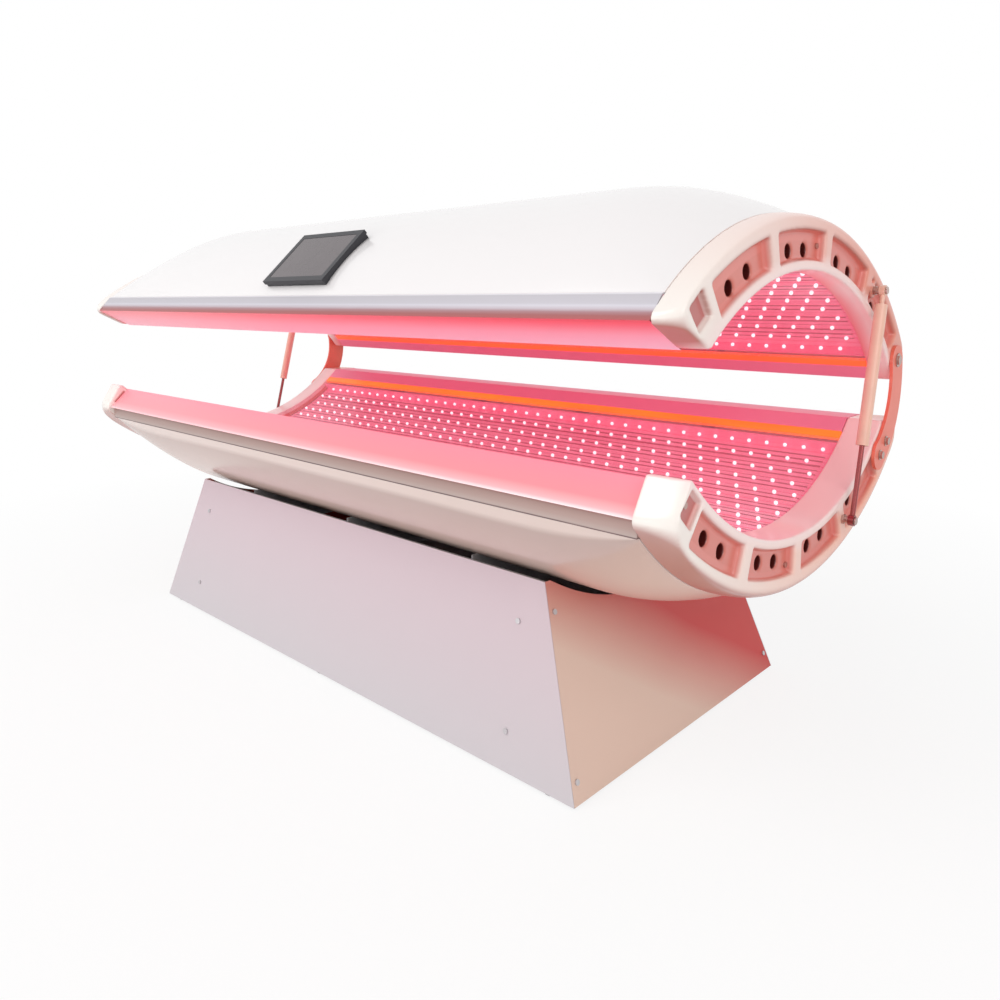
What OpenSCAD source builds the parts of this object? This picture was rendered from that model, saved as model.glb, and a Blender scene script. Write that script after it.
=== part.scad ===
// A clamshell light bed: a steel base, a curved bed and a hinged curved lid.
// X runs along the bed, +Y to its hinge side and +Z up, in millimetres.
// The origin is on the floor under the middle of the bed.
// Both halves are drawn as the lower half of a tunnel, in its own frame:
// y from the tunnel's centre line and z from the middle plane between them.

/* [Tunnel] */
// Length over the faces of the two end caps
bed_len = 1894; // [1840:2:1940]
// Height of the middle plane between the bed and the lid
mid_z = 657; // [652:1:665]
// How far the tunnel's centre line lies in front of the base's centre
tunnel_fwd = 34; // [30:1:38]
// Half width of the bed's lit surface, to its front edge
lit_half_w = 353; // [350:1:356]
// Drop from the middle plane to the front edge of the bed's lit surface
lit_edge_drop = 80; // [77:1:83]
// Drop from the middle plane to the lowest line of the lit surface
lit_drop = 218; // [214:1:222]
// Drop from the middle plane to the front edge of the lid's lit surface
lid_lit_edge_drop = 101; // [99:1:104]
// Drop from the middle plane to the rear edge of the bed
bed_rear_drop = 67; // [64:1:70]
// Drop from the middle plane to the rear edge of the lid
lid_rear_drop = 11; // [8:1:14]

/* [Shells] */
// Drop from the middle plane to the shell's lowest line
shell_drop = 376; // [370:1:382]
// Half width of the shell at the bed's front edge
shell_half_w = 394; // [392:1:396]
// Drop from the middle plane to the bed shell's front edge
shell_edge_drop = 158; // [156:1:162]
// Drop from the middle plane to the lid shell's front edge
lid_shell_edge_drop = 180; // [178:1:184]
// Wall of the shells
shell_wall = 4; // [3:0.5:5]
// Length over which each end of the bed shell rounds down to its cap
bed_round_len = 210; // [190:5:290]
// Length over which each end of the lid shell rounds down to its cap
lid_round_len = 265; // [220:5:300]

/* [End caps] */
// Depth of a bed cap along the bed
bed_cap_depth = 69; // [64:1:74]
// Depth of a lid cap along the bed
lid_cap_depth = 45; // [42:1:52]
// Half width at which a cap's front arc would meet its nose, at the seam
cap_half_w = 418; // [415:1:421]
// The same at the cap's face
face_half_w = 398; // [394:1:402]
// Drop from the middle plane to the bed cap's lowest line at its seam
bed_cap_drop = 321; // [318:1:324]
// Drop from the middle plane to the lid cap's lowest line at its seam
lid_cap_drop = 311; // [308:1:316]
// Drop from the middle plane to the lowest line of a cap's face
face_drop = 298; // [294:1:302]
// Drop from the middle plane to the bed cap's front nose at its seam
bed_nose_drop = 126; // [124:1:128]
// Drop from the middle plane to the lid cap's front nose at its seam
lid_nose_drop = 143; // [141:1:145]
// Drop from the middle plane to the bed cap's front nose at its face
bed_face_nose_drop = 158; // [154:1:160]
// Drop from the middle plane to the lid cap's front nose at its face
lid_face_nose_drop = 163; // [160:1:166]
// Half width of the bed caps at the rear, at the seam
bed_rear_w = 451; // [448:1:456]
// Half width of the bed caps at the rear, at the face
bed_face_rear_w = 446; // [444:1:450]
// Half width of the lid caps at the rear, at the seam
lid_rear_w = 478; // [474:1:484]
// Half width of the lid caps at the rear, at the face
lid_face_rear_w = 466; // [462:1:470]
// Depth of the moulded pockets in the cap's face
pocket_depth = 13; // [8:1:18]
// Wall behind a pocket
pocket_floor = 5; // [4:0.5:7]
// Rim left round the pockets
pocket_rim = 15; // [13:1:17]
// Angle from one bed pocket to the next
bed_pocket_pitch = 19.5; // [19:0.1:19.6]
// Angle from one lid pocket to the next
lid_pocket_pitch = 20.6; // [20:0.1:20.8]
// Angle left between two pockets
pocket_wall_a = 2.8; // [2.4:0.1:3.4]
// Angle of the bed cap's first pocket
bed_first_pocket = -30.6; // [-31.2:0.1:-30.4]
// Angle of the lid cap's first pocket
lid_first_pocket = -24.8; // [-25.4:0.1:-24.6]
// Angle of the slot in the bed cap's front tip
bed_tip_slot_a = -42.5; // [-42.6:0.1:-42.3]
// Angle of the slot in the lid cap's front tip
lid_tip_slot_a = -38.2; // [-38.4:0.1:-37.8]
// Width of the slot in each front tip, as an angle
tip_slot_angle = 2.4; // [2:0.1:2.8]
// Length of the slot in each front tip
tip_slot_len = 26; // [20:1:28]
// Depth of the slot in each front tip
tip_slot_depth = 10; // [6:1:12]
// Diameter of the vent holes in the pockets
vent_d = 23; // [18:1:25]
// Distance of the bed's vent holes behind the lit surface
bed_vent_out = 39; // [34:1:42]
// Distance of the lid's vent holes behind the lit surface
lid_vent_out = 32; // [31:1:40]
// Angle between the two vent holes of a pocket
vent_pitch = 6; // [5.4:0.1:6.4]

/* [Rails] */
// Half width of the bed to the nose of its front rail
rail_nose_w = 402; // [400:1:404]
// Drop from the middle plane to the bed rail's nose
bed_rail_drop = 129; // [127:1:131]
// Half width of the lid to the nose of its front rail
lid_rail_nose_w = 410; // [408:1:412]
// Drop from the middle plane to the lid rail's nose
lid_rail_drop = 143; // [141:1:145]
// Wall of the rails
rail_wall = 3; // [2:0.5:3.5]
// Width of the foot that a front rail turns under its shell's edge
rail_foot = 20; // [16:1:22]
// Depth of the rear rail's lit flange
rear_flange = 25; // [22:1:28]
// Depth of the light strip below the rear rail
strip_h = 12; // [9:1:18]
// Thickness of the light strip
strip_t = 8; // [6:0.5:10]

/* [Light trays] */
// Thickness of the clear sheet over the lights
clear_t = 3; // [2:0.5:4]
// Gap between the lit surface and the metal tray behind it
tray_gap = 25; // [22:1:28]
// Thickness of the tray
tray_t = 2; // [1:0.5:3]
// Distance along the arc from one light board to the next
board_pitch = 42; // [40:1:50]
// Width of a light board
board_w = 30; // [24:1:34]
// Thickness of a light board
board_t = 1.6; // [1:0.2:3]

/* [Ribs and fans] */
// Distance of the outer ribs from the middle of the bed
rib_outer_x = 560; // [520:10:570]
// Distance of the inner ribs from the middle of the bed
rib_inner_x = 190; // [140:10:240]
// Thickness of a rib
rib_t = 4; // [3:0.5:6]
// Width of a fan's square frame
fan_w = 92; // [80:1:96]
// Depth of a fan's frame
fan_depth = 25; // [24:1:28]
// Diameter of a fan's axle
fan_axle_d = 5; // [4:0.5:6]
// Number of blades on a fan
fan_blades = 7; // [5:1:9]

/* [Base] */
// Half length of the base at the floor
base_half_l = 726; // [700:2:740]
// Half depth of the base at the floor
base_half_d = 363; // [356:1:368]
// Half length of the base at its top
base_top_half_l = 608; // [600:1:616]
// Half depth of the base at its top
base_top_half_d = 301; // [296:1:306]
// How far the base's front panel stands above the shell's lowest line
base_rise = 60; // [55:1:64]
// Thickness of the base panels
panel_t = 1.5; // [1:0.5:2.5]
// Height of the panels' lower edges over the floor
panel_lift = 4; // [3:0.5:8]
// Width of the base's square tubes
tube_w = 30; // [25:1:32]
// Wall of the base's square tubes
tube_wall = 2; // [1.5:0.5:3]
// Height of a rubber foot
foot_h = 12; // [10:1:16]
// Diameter of a rubber foot
foot_d = 40; // [30:1:44]
// Gap between the shell and the scooped end panels
scoop_gap = 12; // [8:1:18]
// Diameter of the panel screws' heads
panel_screw_d = 10; // [8:0.5:12]

/* [Hinges and gas struts] */
// Distance of the hinge axis behind the base's centre
pivot_y = 384; // [381:1:387]
// Height of the hinge axis
pivot_z = 708; // [705:1:711]
// Diameter of the hinge pins
pivot_d = 16; // [12:1:18]
// Thickness of a hinge arm
arm_t = 6; // [5:1:7]
// Width of a hinge arm
arm_w = 60; // [50:1:62]
// Radius of the bend along the middle of a hinge arm
arm_bend_r = 175; // [165:1:200]
// Half width of the tunnel to a hinge arm's lower end
arm_foot_w = 341; // [338:1:344]
// Drop from the middle plane to a hinge arm's lower end
arm_foot_drop = 131; // [128:1:134]
// Angle along the bend from a hinge arm's lower end to its second bolt
arm_bolt_a = 12.5; // [12:0.5:16]
// Distance of a strut's upper pivot behind the base's centre
strut_top_y = 246; // [242:1:250]
// Height of a strut's upper pivot
strut_top_z = 845; // [841:1:849]
// Distance of a strut's lower pivot behind the base's centre
strut_low_y = 142; // [138:1:146]
// Height of a strut's lower pivot
strut_low_z = 429; // [425:1:433]
// Diameter of a strut's tube
strut_tube_d = 22; // [21:0.5:24]
// Wall of a strut's tube
strut_tube_wall = 1.2; // [1:0.1:1.3]
// Length of a strut's tube
strut_tube_len = 264; // [256:2:270]
// Diameter of a strut's rod
strut_rod_d = 9; // [8:0.5:10]
// Length of a strut's rod from its pivot
strut_rod_len = 338; // [330:2:344]
// Diameter of the studs that carry the struts
stud_d = 10; // [8:1:11]

/* [Touch screen] */
// Width of the screen's bezel
screen_w = 218; // [210:1:226]
// Height of the screen's bezel
screen_h = 150; // [145:1:155]
// Thickness of the screen's bezel
screen_t = 9; // [7:1:12]
// Width of the bezel round the glass
screen_rim = 13; // [10:1:18]
// Tilt of the screen from level
screen_tilt = 44; // [43:0.5:45]
// Angle of the screen's place round the shell
screen_place_a = 42.5; // [41.5:0.1:43.5]
// Distance of the screen's centre from the middle of the bed
screen_x = 14; // [-60:2:60]

/* [Hidden] */
$fn = 72;

// Clearances
seat = 0.3;
fit = 0.05;
hair = 0.01;
big = 3000;
// Sides of the large arcs
arc_fn = 360;

// Radius of an arc from half its width and its rise
function arc_r(w, s) = (w * w + s * s) / (2 * s);

// Tunnel section: the lit surface, the shell and the caps' arcs
lit_r = arc_r(lit_half_w, lit_drop - lit_edge_drop);
lit_c = lit_r - lit_drop;
shell_r = arc_r(shell_half_w, shell_drop - shell_edge_drop);
shell_c = shell_r - shell_drop;
tray_r = lit_r + tray_gap;
lamp_y0 = -tunnel_fwd;
base_h = mid_z - shell_drop + base_rise;
face_x = bed_len / 2;
bed_seam = face_x - bed_cap_depth;
lid_seam = face_x - lid_cap_depth;
round_steps = 6;

function drop_y(r, c, drop) = sqrt(r * r - (c + drop) * (c + drop));
function drop_angle(r, c, drop) = acos((c + drop) / r);
function lit_angle(drop) = drop_angle(lit_r, lit_c, drop);
function mix(a, b, t) = a + (b - a) * t;

function steps(a, b, n) = [for (i = [0:n - 1]) mix(a, b, i / n)];
function reversed(v) = [for (i = [len(v) - 1:-1:0]) v[i]];
function at_x(x, row) = [for (p = row) [x, p[0], p[1]]];
// Share of the whole length reached at each point of a chain
function shares(p) =
  let (s = [for (i = 0, l = 0; i < len(p); i = i + 1, l = l + (i < len(p) ? norm(p[i] - p[i - 1]) : 0)) l])
  s / s[len(s) - 1];

// Point where an outline has turned by a from level: an arc of radius r up to the turn
// brk and an arc of radius tip beyond it. Outlines that share their turns have parallel
// sides, so every side between two of them is flat.
function turn_point(a, drop, r, brk, tip) =
  let (s = a < 0 ? -1 : 1, t = abs(a), b = min(t, brk))
  [s * (r * sin(b) + tip * (sin(t) - sin(b))), -drop + r * (1 - cos(b)) + tip * (cos(b) - cos(t))];

// Solid through stations, each an outer and an inner chain with the same number of points
module chain_loft(xs, chains) {
  n = len(chains[0][0]);
  k = len(xs);
  function id(i, c, j) = (2 * i + c) * n + j;
  sides = [for (i = [0:k - 2], j = [0:n - 2], c = [0, 1]) c == 0
    ? [id(i, 0, j), id(i + 1, 0, j), id(i + 1, 0, j + 1), id(i, 0, j + 1)]
    : [id(i, 1, j), id(i, 1, j + 1), id(i + 1, 1, j + 1), id(i + 1, 1, j)]];
  edges = [for (i = [0:k - 2], c = [0, 1]) c == 0
    ? [id(i, 0, 0), id(i, 1, 0), id(i + 1, 1, 0), id(i + 1, 0, 0)]
    : [id(i, 0, n - 1), id(i + 1, 0, n - 1), id(i + 1, 1, n - 1), id(i, 1, n - 1)]];
  ends = [for (j = [0:n - 2], c = [0, 1]) c == 0
    ? [id(0, 0, j), id(0, 0, j + 1), id(0, 1, j + 1), id(0, 1, j)]
    : [id(k - 1, 0, j), id(k - 1, 1, j), id(k - 1, 1, j + 1), id(k - 1, 0, j + 1)]];
  polyhedron(points = [for (i = [0:k - 1], c = [0, 1]) each at_x(xs[i], chains[i][c])],
    faces = concat(sides, edges, ends), convexity = 8);
}

// Places of the tunnel frame for the bed and, mirrored, for the lid
module bed_half() { translate([0, lamp_y0, mid_z]) children(); }
module lid_half() { translate([0, lamp_y0, mid_z]) mirror([0, 0, 1]) children(); }
module both_ends() { children(); mirror([1, 0, 0]) children(); }
// A y-z outline drawn along X
module along(x0, length) { translate([x0, 0, 0]) rotate([90, 0, 90]) linear_extrude(length) children(); }
// A round bar along X
module pin(x0, length, r, y = 0, z = 0) { along(x0, length) translate([y, z]) circle(r); }

module ring_2d(c, r0, r1) {
  translate([0, c]) difference() {
    circle(r1, $fn = arc_fn);
    circle(r0, $fn = arc_fn);
  }
}

// Part of a ring between two angles from straight down
module sector_2d(c, r0, r1, a0, a1) {
  far = 2 * r1;
  intersection() {
    ring_2d(c, r0, r1);
    translate([0, c]) polygon(concat([[0, 0]],
      [for (i = [0:2]) let (a = mix(a0, a1, i / 2)) [far * sin(a), -far * cos(a)]]));
  }
}

// Everything below the two edges of a half
module below_2d(front_drop, rear_drop) {
  polygon([[-big, -front_drop], [0, -front_drop], [0, -rear_drop], [big, -rear_drop],
    [big, -big], [-big, -big]]);
}

// A bent strip of sheet along a chain of points, thickened to its left
function unit(v) = v / norm(v);
function left_of(a, b) = let (d = unit(b - a)) [-d[1], d[0]];
function strip_side(pts, t) = [for (i = [0:len(pts) - 1])
  let (
    n1 = i == 0 ? left_of(pts[0], pts[1]) : left_of(pts[i - 1], pts[i]),
    n2 = i == len(pts) - 1 ? n1 : left_of(pts[i], pts[i + 1])
  )
  pts[i] + t * (n1 + n2) / (1 + n1 * n2)];
module strip_2d(pts, t) { polygon(concat(pts, reversed(strip_side(pts, t)))); }

// Centre of the arc through two points that bulges away from the axis
function arc_centre(a, b, r) =
  let (h = norm(b - a) / 2)
  (a + b) / 2 - sqrt(r * r - h * h) * left_of(b, a) * (left_of(b, a)[0] > 0 ? 1 : -1);

// Shells: the middle's arc, drawn in towards each end's outline
shell_tip_r = 20;
function shell_chain(inset, t, cap_drop, cap_r, rear_turn, edge_drop, rear_drop) =
  let (
    r = shell_r - inset,
    drop = cap_drop - inset,
    end_r = cap_r - inset,
    tip = shell_tip_r - inset,
    a0 = drop_angle(r, shell_c, edge_drop),
    a1 = drop_angle(r, shell_c, rear_drop),
    front_turn = acos((end_r - tip * cos(a0) - drop + edge_drop) / (end_r - tip)),
    rear_tip = (drop - rear_drop - end_r * (1 - cos(rear_turn))) / (cos(rear_turn) - cos(a1)),
    turns = concat(steps(-a0, -front_turn, 6), steps(-front_turn, 0, 12),
      steps(0, rear_turn, 12), steps(rear_turn, a1, 14), [a1])
  )
  [for (a = turns) mix([r * sin(a), shell_c - r * cos(a)],
    turn_point(a, drop, end_r, a < 0 ? front_turn : rear_turn, a < 0 ? tip : rear_tip), t)];

module half_shell(seam, round_len, cap_drop, cap_r, rear_turn, edge_drop, rear_drop) {
  function share(x) = pow(max(0, abs(x) - seam + round_len) / round_len, 2);
  end_x = [for (i = [0:round_steps]) mix(seam - round_len, seam - seat, i / round_steps)];
  stations = concat([for (x = reversed(end_x)) -x], end_x);
  front = edge_drop + seat;
  rear = rear_drop + rail_wall + seat;
  chain_loft(stations, [for (x = stations) [for (inset = [0, shell_wall])
    shell_chain(inset, share(x), cap_drop, cap_r, rear_turn, front, rear)]]);
}

// End caps. An outline is its drop, its front radius, the radius of its nose, the rim
// at its tip, its rear radius and its half width at the rear.
cap_steps = [0, 0.3, 0.55, 0.75, 0.88, 0.96, 1];
rear_corner_r = 30;
bed_front_r = arc_r(cap_half_w, bed_cap_drop - bed_nose_drop);
lid_front_r = arc_r(cap_half_w, lid_cap_drop - lid_nose_drop);
bed_face_front_r = arc_r(face_half_w, face_drop - bed_face_nose_drop);
lid_face_front_r = arc_r(face_half_w, face_drop - lid_face_nose_drop);
bed_seam_line = [bed_cap_drop, bed_front_r, 18, 12, 560, bed_rear_w];
bed_face_line = [face_drop, bed_face_front_r, 55, 4, 645, bed_face_rear_w];
lid_seam_line = [lid_cap_drop, lid_front_r, 12, 16, 640, lid_rear_w];
lid_face_line = [face_drop, lid_face_front_r, 30, 6, 590, lid_face_rear_w];
bed_ledge = 121;
lid_ledge = 153;
bed_tip_drop = lit_edge_drop - 11;
lid_tip_drop = lid_lit_edge_drop + 3;

function cap_tip(line, tip_drop) = [drop_y(lit_r, lit_c, tip_drop) + line[3], -tip_drop];
// Turn at which an outline's front arc meets its nose, which ends along the ledge to the tip
function nose_turn(line, ledge, tip_drop) =
  ledge - acos(([sin(ledge), -cos(ledge)] * (cap_tip(line, tip_drop) - [0, line[1] - line[0]]) - line[2])
    / (line[1] - line[2]));
function corner_turn(line) = asin((line[5] - rear_corner_r) / (line[4] - rear_corner_r));

function cap_chain(line, turns, ledge, tip_drop, rear_drop) =
  let (tip = cap_tip(line, tip_drop), nose = nose_turn(line, ledge, tip_drop), corner = corner_turn(line))
  concat([[-tip[0], tip[1]]],
    [for (a = turns) turn_point(a, line[0], line[a < 0 ? 1 : 4], a < 0 ? nose : corner,
      a < 0 ? line[2] : rear_corner_r)],
    [[line[5], -rear_drop]]);

// The plain body of a cap at the +X end
module cap_body(seam, seam_line, face_line, ledge, tip_drop, rear_drop) {
  noses = [for (line = [seam_line, face_line]) nose_turn(line, ledge, tip_drop)];
  corners = [for (line = [seam_line, face_line]) corner_turn(line)];
  turns = concat(steps(-ledge, -max(noses), 6), steps(-max(noses), -min(noses), 3),
    steps(-min(noses), 0, 7), steps(0, min(corners), 7), steps(min(corners), max(corners), 2),
    steps(max(corners), 90, 3), [90]);
  outer = [for (line = [seam_line, face_line]) cap_chain(line, turns, ledge, tip_drop, rear_drop)];
  inner = [for (t = shares(outer[0])) let (b = mix(-lit_angle(tip_drop), lit_angle(rear_drop), t))
    [lit_r * sin(b), lit_c - lit_r * cos(b)]];
  chain_loft([for (u = cap_steps) mix(seam, face_x, u)],
    [for (u = cap_steps) [mix(outer[0], outer[1], 1 - sqrt(1 - u * u)), inner]]);
}

// Band that holds the pockets, between the lit surface and the face's outline
pocket_r0 = lit_r + pocket_rim;
module pocket_2d(line, a0, a1) {
  r = a0 + a1 < 0 ? line[1] : line[4];
  intersection() {
    difference() {
      translate([0, r - line[0]]) circle(r - pocket_rim, $fn = arc_fn);
      translate([0, lit_c]) circle(pocket_r0, $fn = arc_fn);
    }
    translate([0, lit_c]) polygon([[0, 0], [2 * lit_r * sin(a0), -2 * lit_r * cos(a0)],
      [2 * lit_r * sin((a0 + a1) / 2), -2 * lit_r * cos((a0 + a1) / 2)],
      [2 * lit_r * sin(a1), -2 * lit_r * cos(a1)]]);
  }
}

function on_lit(r, a) = [r * sin(a), lit_c - r * cos(a)];

// An end cap at the +X end; boss holds the y and z of the strut's stud
module half_cap(seam, line, first, pitch, slot, vent_r, boss) {
  floor_x = face_x - pocket_depth;
  half_a = (pitch - pocket_wall_a) / 2;
  back_l = floor_x - pocket_floor - seam;
  boss_r = 15;
  // Half the width of the rib at the back of the cap, as an angle
  back_rib_a = 0.3;
  difference() {
    children();
    along(seam - 1, back_l + 1) pocket_2d(line, first - half_a, -back_rib_a);
    along(seam - 1, back_l + 1) pocket_2d(line, back_rib_a, first + 3 * pitch + half_a);
    difference() {
      for (i = [0:3]) along(floor_x, pocket_depth + 1)
        pocket_2d(line, first + i * pitch - half_a, first + i * pitch + half_a);
      pin(floor_x - 1, pocket_depth + 3, boss_r, boss[0], boss[1]);
    }
    along(face_x - tip_slot_depth, tip_slot_depth + 1) sector_2d(lit_c, slot[1] - tip_slot_len / 2,
      slot[1] + tip_slot_len / 2, slot[0] - tip_slot_angle / 2, slot[0] + tip_slot_angle / 2);
    for (i = [0:3], side = [-1, 1])
      let (p = on_lit(vent_r, first + i * pitch + side * vent_pitch / 2))
      if (norm(p - boss) > boss_r + vent_d / 2)
        pin(floor_x - pocket_floor - 1, pocket_floor + 2, vent_d / 2, p[0], p[1]);
  }
}

function in_tunnel(y, z, side) = [y + tunnel_fwd, side * (z - mid_z)];
bed_boss = in_tunnel(strut_low_y, strut_low_z, 1);
lid_boss = in_tunnel(strut_top_y, strut_top_z, -1);
pivot = in_tunnel(pivot_y, pivot_z, 1);
bush_r = pivot_d / 2 + 5;
bush_len = 30;

bed_vent_r = lit_r + bed_vent_out;
lid_vent_r = lit_r + lid_vent_out;
bed_slot = [bed_tip_slot_a, lit_r + 30];
lid_slot = [lid_tip_slot_a, lit_r + 56];
module bed_cap() {
  half_cap(bed_seam, bed_face_line, bed_first_pocket, bed_pocket_pitch, bed_slot, bed_vent_r, bed_boss)
    cap_body(bed_seam, bed_seam_line, bed_face_line, bed_ledge, bed_tip_drop, bed_rear_drop);
}
module lid_cap() {
  difference() {
    half_cap(lid_seam, lid_face_line, lid_first_pocket, lid_pocket_pitch, lid_slot, lid_vent_r, lid_boss)
      cap_body(lid_seam, lid_seam_line, lid_face_line, lid_ledge, lid_tip_drop, lid_rear_drop);
    pin(face_x - bush_len - seat, bush_len + 2, bush_r + fit, pivot[0], -pivot[1]);
  }
}

// Pan-head screws, one at the rear edge of each cap's second pocket
cap_screw_r = 5;
cap_screw_h = 3;
cap_screw_in_a = 1.1;
cap_screw_out = 10;
module cap_screw(a, r, x) { pin(x, cap_screw_h, cap_screw_r, on_lit(r, a)[0], on_lit(r, a)[1]); }
module pocket_screw(first, pitch, vent_r) {
  cap_screw(first + pitch + (pitch - pocket_wall_a) / 2 - cap_screw_in_a, vent_r + cap_screw_out,
    face_x - pocket_depth);
}

// Rails
module rail(seam, pts) { along(seat - seam, 2 * (seam - seat)) strip_2d(pts, rail_wall); }

module half_rear_rail(seam, rear_drop) {
  lit_y0 = drop_y(lit_r, lit_c, rear_drop);
  lit_y1 = drop_y(lit_r, lit_c, rear_drop + rear_flange);
  shell_y = drop_y(shell_r, shell_c, rear_drop + rail_wall);
  rail(seam, [[shell_y, -rear_drop - rail_wall], [shell_y, -rear_drop], [lit_y0, -rear_drop],
    [lit_y1, -rear_drop - rear_flange]]);
}

// Light trays, clear sheets, light strips and light boards
module tunnel_band(seam, r0, r1, a0, a1) {
  along(seat - seam, 2 * (seam - seat)) sector_2d(lit_c, r0, r1, a0, a1);
}
function strip_a0(rear_drop) = lit_angle(rear_drop + rear_flange + strip_h);
function strip_a1(rear_drop) = lit_angle(rear_drop + rear_flange);
gap_a = 0.05;
board_gap = 0.1;
tray_edge_a = 1.2;

module half_clear_sheet(seam, edge_drop, rear_drop) {
  tunnel_band(seam, lit_r, lit_r + clear_t, -lit_angle(edge_drop + rail_wall), strip_a0(rear_drop) - gap_a);
}
module half_light_strip(seam, rear_drop) {
  tunnel_band(seam, lit_r, lit_r + strip_t, strip_a0(rear_drop), strip_a1(rear_drop) - gap_a);
}
module half_tray(seam, edge_drop, rear_drop) {
  a0 = -lit_angle(edge_drop) + tray_edge_a;
  a1 = strip_a0(rear_drop) - tray_edge_a;
  wall_a = tray_t * 180 / (PI * tray_r);
  along(seat - seam, 2 * (seam - seat)) {
    sector_2d(lit_c, tray_r, tray_r + tray_t, a0, a1);
    sector_2d(lit_c, lit_r + clear_t + seat, tray_r + tray_t, a0, a0 + wall_a);
    sector_2d(lit_c, lit_r + clear_t + seat, tray_r + tray_t, a1 - wall_a, a1);
  }
}
module half_light_boards(seam, edge_drop, rear_drop) {
  a0 = -lit_angle(edge_drop) + tray_edge_a;
  a1 = strip_a0(rear_drop) - tray_edge_a;
  pitch = board_pitch * 180 / (PI * tray_r);
  count = floor((a1 - a0 - pitch / 2) / pitch);
  first = (a0 + a1 - (count - 1) * pitch) / 2;
  seat_r = sqrt(tray_r * tray_r - board_w * board_w / 4) - board_gap;
  for (i = [0:count - 1]) translate([0, 0, lit_c]) rotate([first + i * pitch, 0, 0])
    translate([20 - seam, -board_w / 2, -seat_r]) cube([2 * seam - 40, board_w, board_t]);
}

// Ribs between the tray and the shell
fan_z = -(lit_drop + tray_gap + tray_t + shell_drop - shell_wall) / 2;
fan_bore_r = fan_w / 2 - 2.5;
module rib_2d(edge_drop, rear_drop, with_fan) {
  intersection() {
    difference() {
      translate([0, shell_c]) circle(shell_r - shell_wall - 2 * seat, $fn = arc_fn);
      translate([0, lit_c]) circle(tray_r + tray_t + seat, $fn = arc_fn);
      for (a = [-32, -16, 16, 32]) translate([0, shell_c])
        rotate(a) translate([0, fan_z - shell_c + 4]) circle(fan_w / 4);
      translate([0, fan_z]) circle(with_fan ? fan_bore_r : fan_w / 4);
    }
    below_2d(edge_drop + 12, rear_drop + 26);
  }
}
module half_ribs(edge_drop, rear_drop) {
  for (x = [-rib_outer_x, -rib_inner_x, rib_inner_x, rib_outer_x])
    along(x - rib_t / 2, rib_t) rib_2d(edge_drop, rear_drop, abs(x) == rib_outer_x);
}

// Fans on the outer ribs
motor_r = 17;
hub_len = 15;
fan_x = rib_outer_x + rib_t / 2;
module fan_frame() {
  arm_x = fan_x + fan_depth - 4;
  translate([0, 0, fan_z]) {
    difference() {
      translate([fan_x, -fan_w / 2, -fan_w / 2]) cube([fan_depth, fan_w, fan_w]);
      pin(fan_x - 1, fan_depth + 2, fan_bore_r);
      for (y = [-1, 1], z = [-1, 1])
        pin(fan_x - 1, fan_depth + 2, 2.2, y * (fan_w / 2 - 5), z * (fan_w / 2 - 5));
    }
    pin(arm_x, 4, motor_r);
    pin(fan_x + 3, fan_depth - 4, fan_axle_d / 2);
    for (a = [0, 120, 240]) rotate([a, 0, 0]) translate([arm_x, motor_r - 1, -3])
      cube([4, fan_bore_r - motor_r + 2, 6]);
  }
}
module fan_rotor() {
  hub_x = fan_x + 4;
  blade_w = 18;
  translate([0, 0, fan_z]) difference() {
    union() {
      pin(hub_x, hub_len, motor_r);
      for (i = [0:fan_blades - 1]) rotate([i * 360 / fan_blades, 0, 0])
        translate([hub_x + hub_len / 2, 0, motor_r - 2]) rotate([0, 0, 40])
          translate([-blade_w / 2, -1, 0]) cube([blade_w, 2, fan_bore_r - motor_r]);
    }
    pin(hub_x - 1, hub_len + 2, fan_axle_d / 2 + fit);
  }
}

// Base panels lean in from the floor to the top
front_tilt = atan((base_half_d - base_top_half_d) / base_h);
end_tilt = atan((base_half_l - base_top_half_l) / base_h);
front_slope = base_h / cos(front_tilt);
end_slope = base_h / cos(end_tilt);
corner_inset = panel_t / cos(end_tilt) + seat;
screw_r = 2.5;
screw_inset = 15;
// Half width of a panel at a height along its slope
function panel_half(low, high, slope, v) = mix(low, high, v / slope);
front_screws = [for (s = [-1, 1], v = [73, 267])
  [s * (v == 73 ? base_half_l - 164 : base_half_l - 166), v]];
low_screw_v = foot_h + tube_w - 4;
end_screws = [for (s = [-1, 1], v = [low_screw_v, end_slope - 53])
  [s * (panel_half(base_half_d, base_top_half_d, end_slope, v) - screw_inset), v]];

module front_plane() {
  translate([0, -base_half_d, 0]) rotate([90 - front_tilt, 0, 0]) translate([0, 0, -panel_t]) children();
}
module end_plane() {
  translate([base_half_l, 0, 0]) rotate([0, -end_tilt, 0]) rotate([90, 0, 90])
    translate([0, 0, -panel_t]) children();
}
module panel_outline(low, high, slope, inset, lift) {
  lift_low = panel_half(low, high, slope, lift) - inset;
  polygon([[-lift_low, lift], [lift_low, lift], [high - inset, slope], [-(high - inset), slope]]);
}
module front_panel() {
  front_plane() linear_extrude(panel_t) difference() {
    panel_outline(base_half_l, base_top_half_l, front_slope, 0, panel_lift);
    for (p = front_screws) translate(p) circle(screw_r + 0.1);
  }
}
module end_panel() {
  difference() {
    end_plane() linear_extrude(panel_t) difference() {
      panel_outline(base_half_d, base_top_half_d, end_slope, corner_inset, panel_lift);
      for (p = end_screws) translate(p) circle(screw_r + 0.1);
    }
    bed_half() pin(0, base_half_l + 10, shell_r + scoop_gap, 0, shell_c, $fn = arc_fn);
  }
}
module panel_screw() {
  translate([0, 0, panel_t]) cylinder(h = 2.5, r = panel_screw_d / 2);
  translate([0, 0, -6]) cylinder(h = 6 + panel_t + hair, r = screw_r);
}

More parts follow.
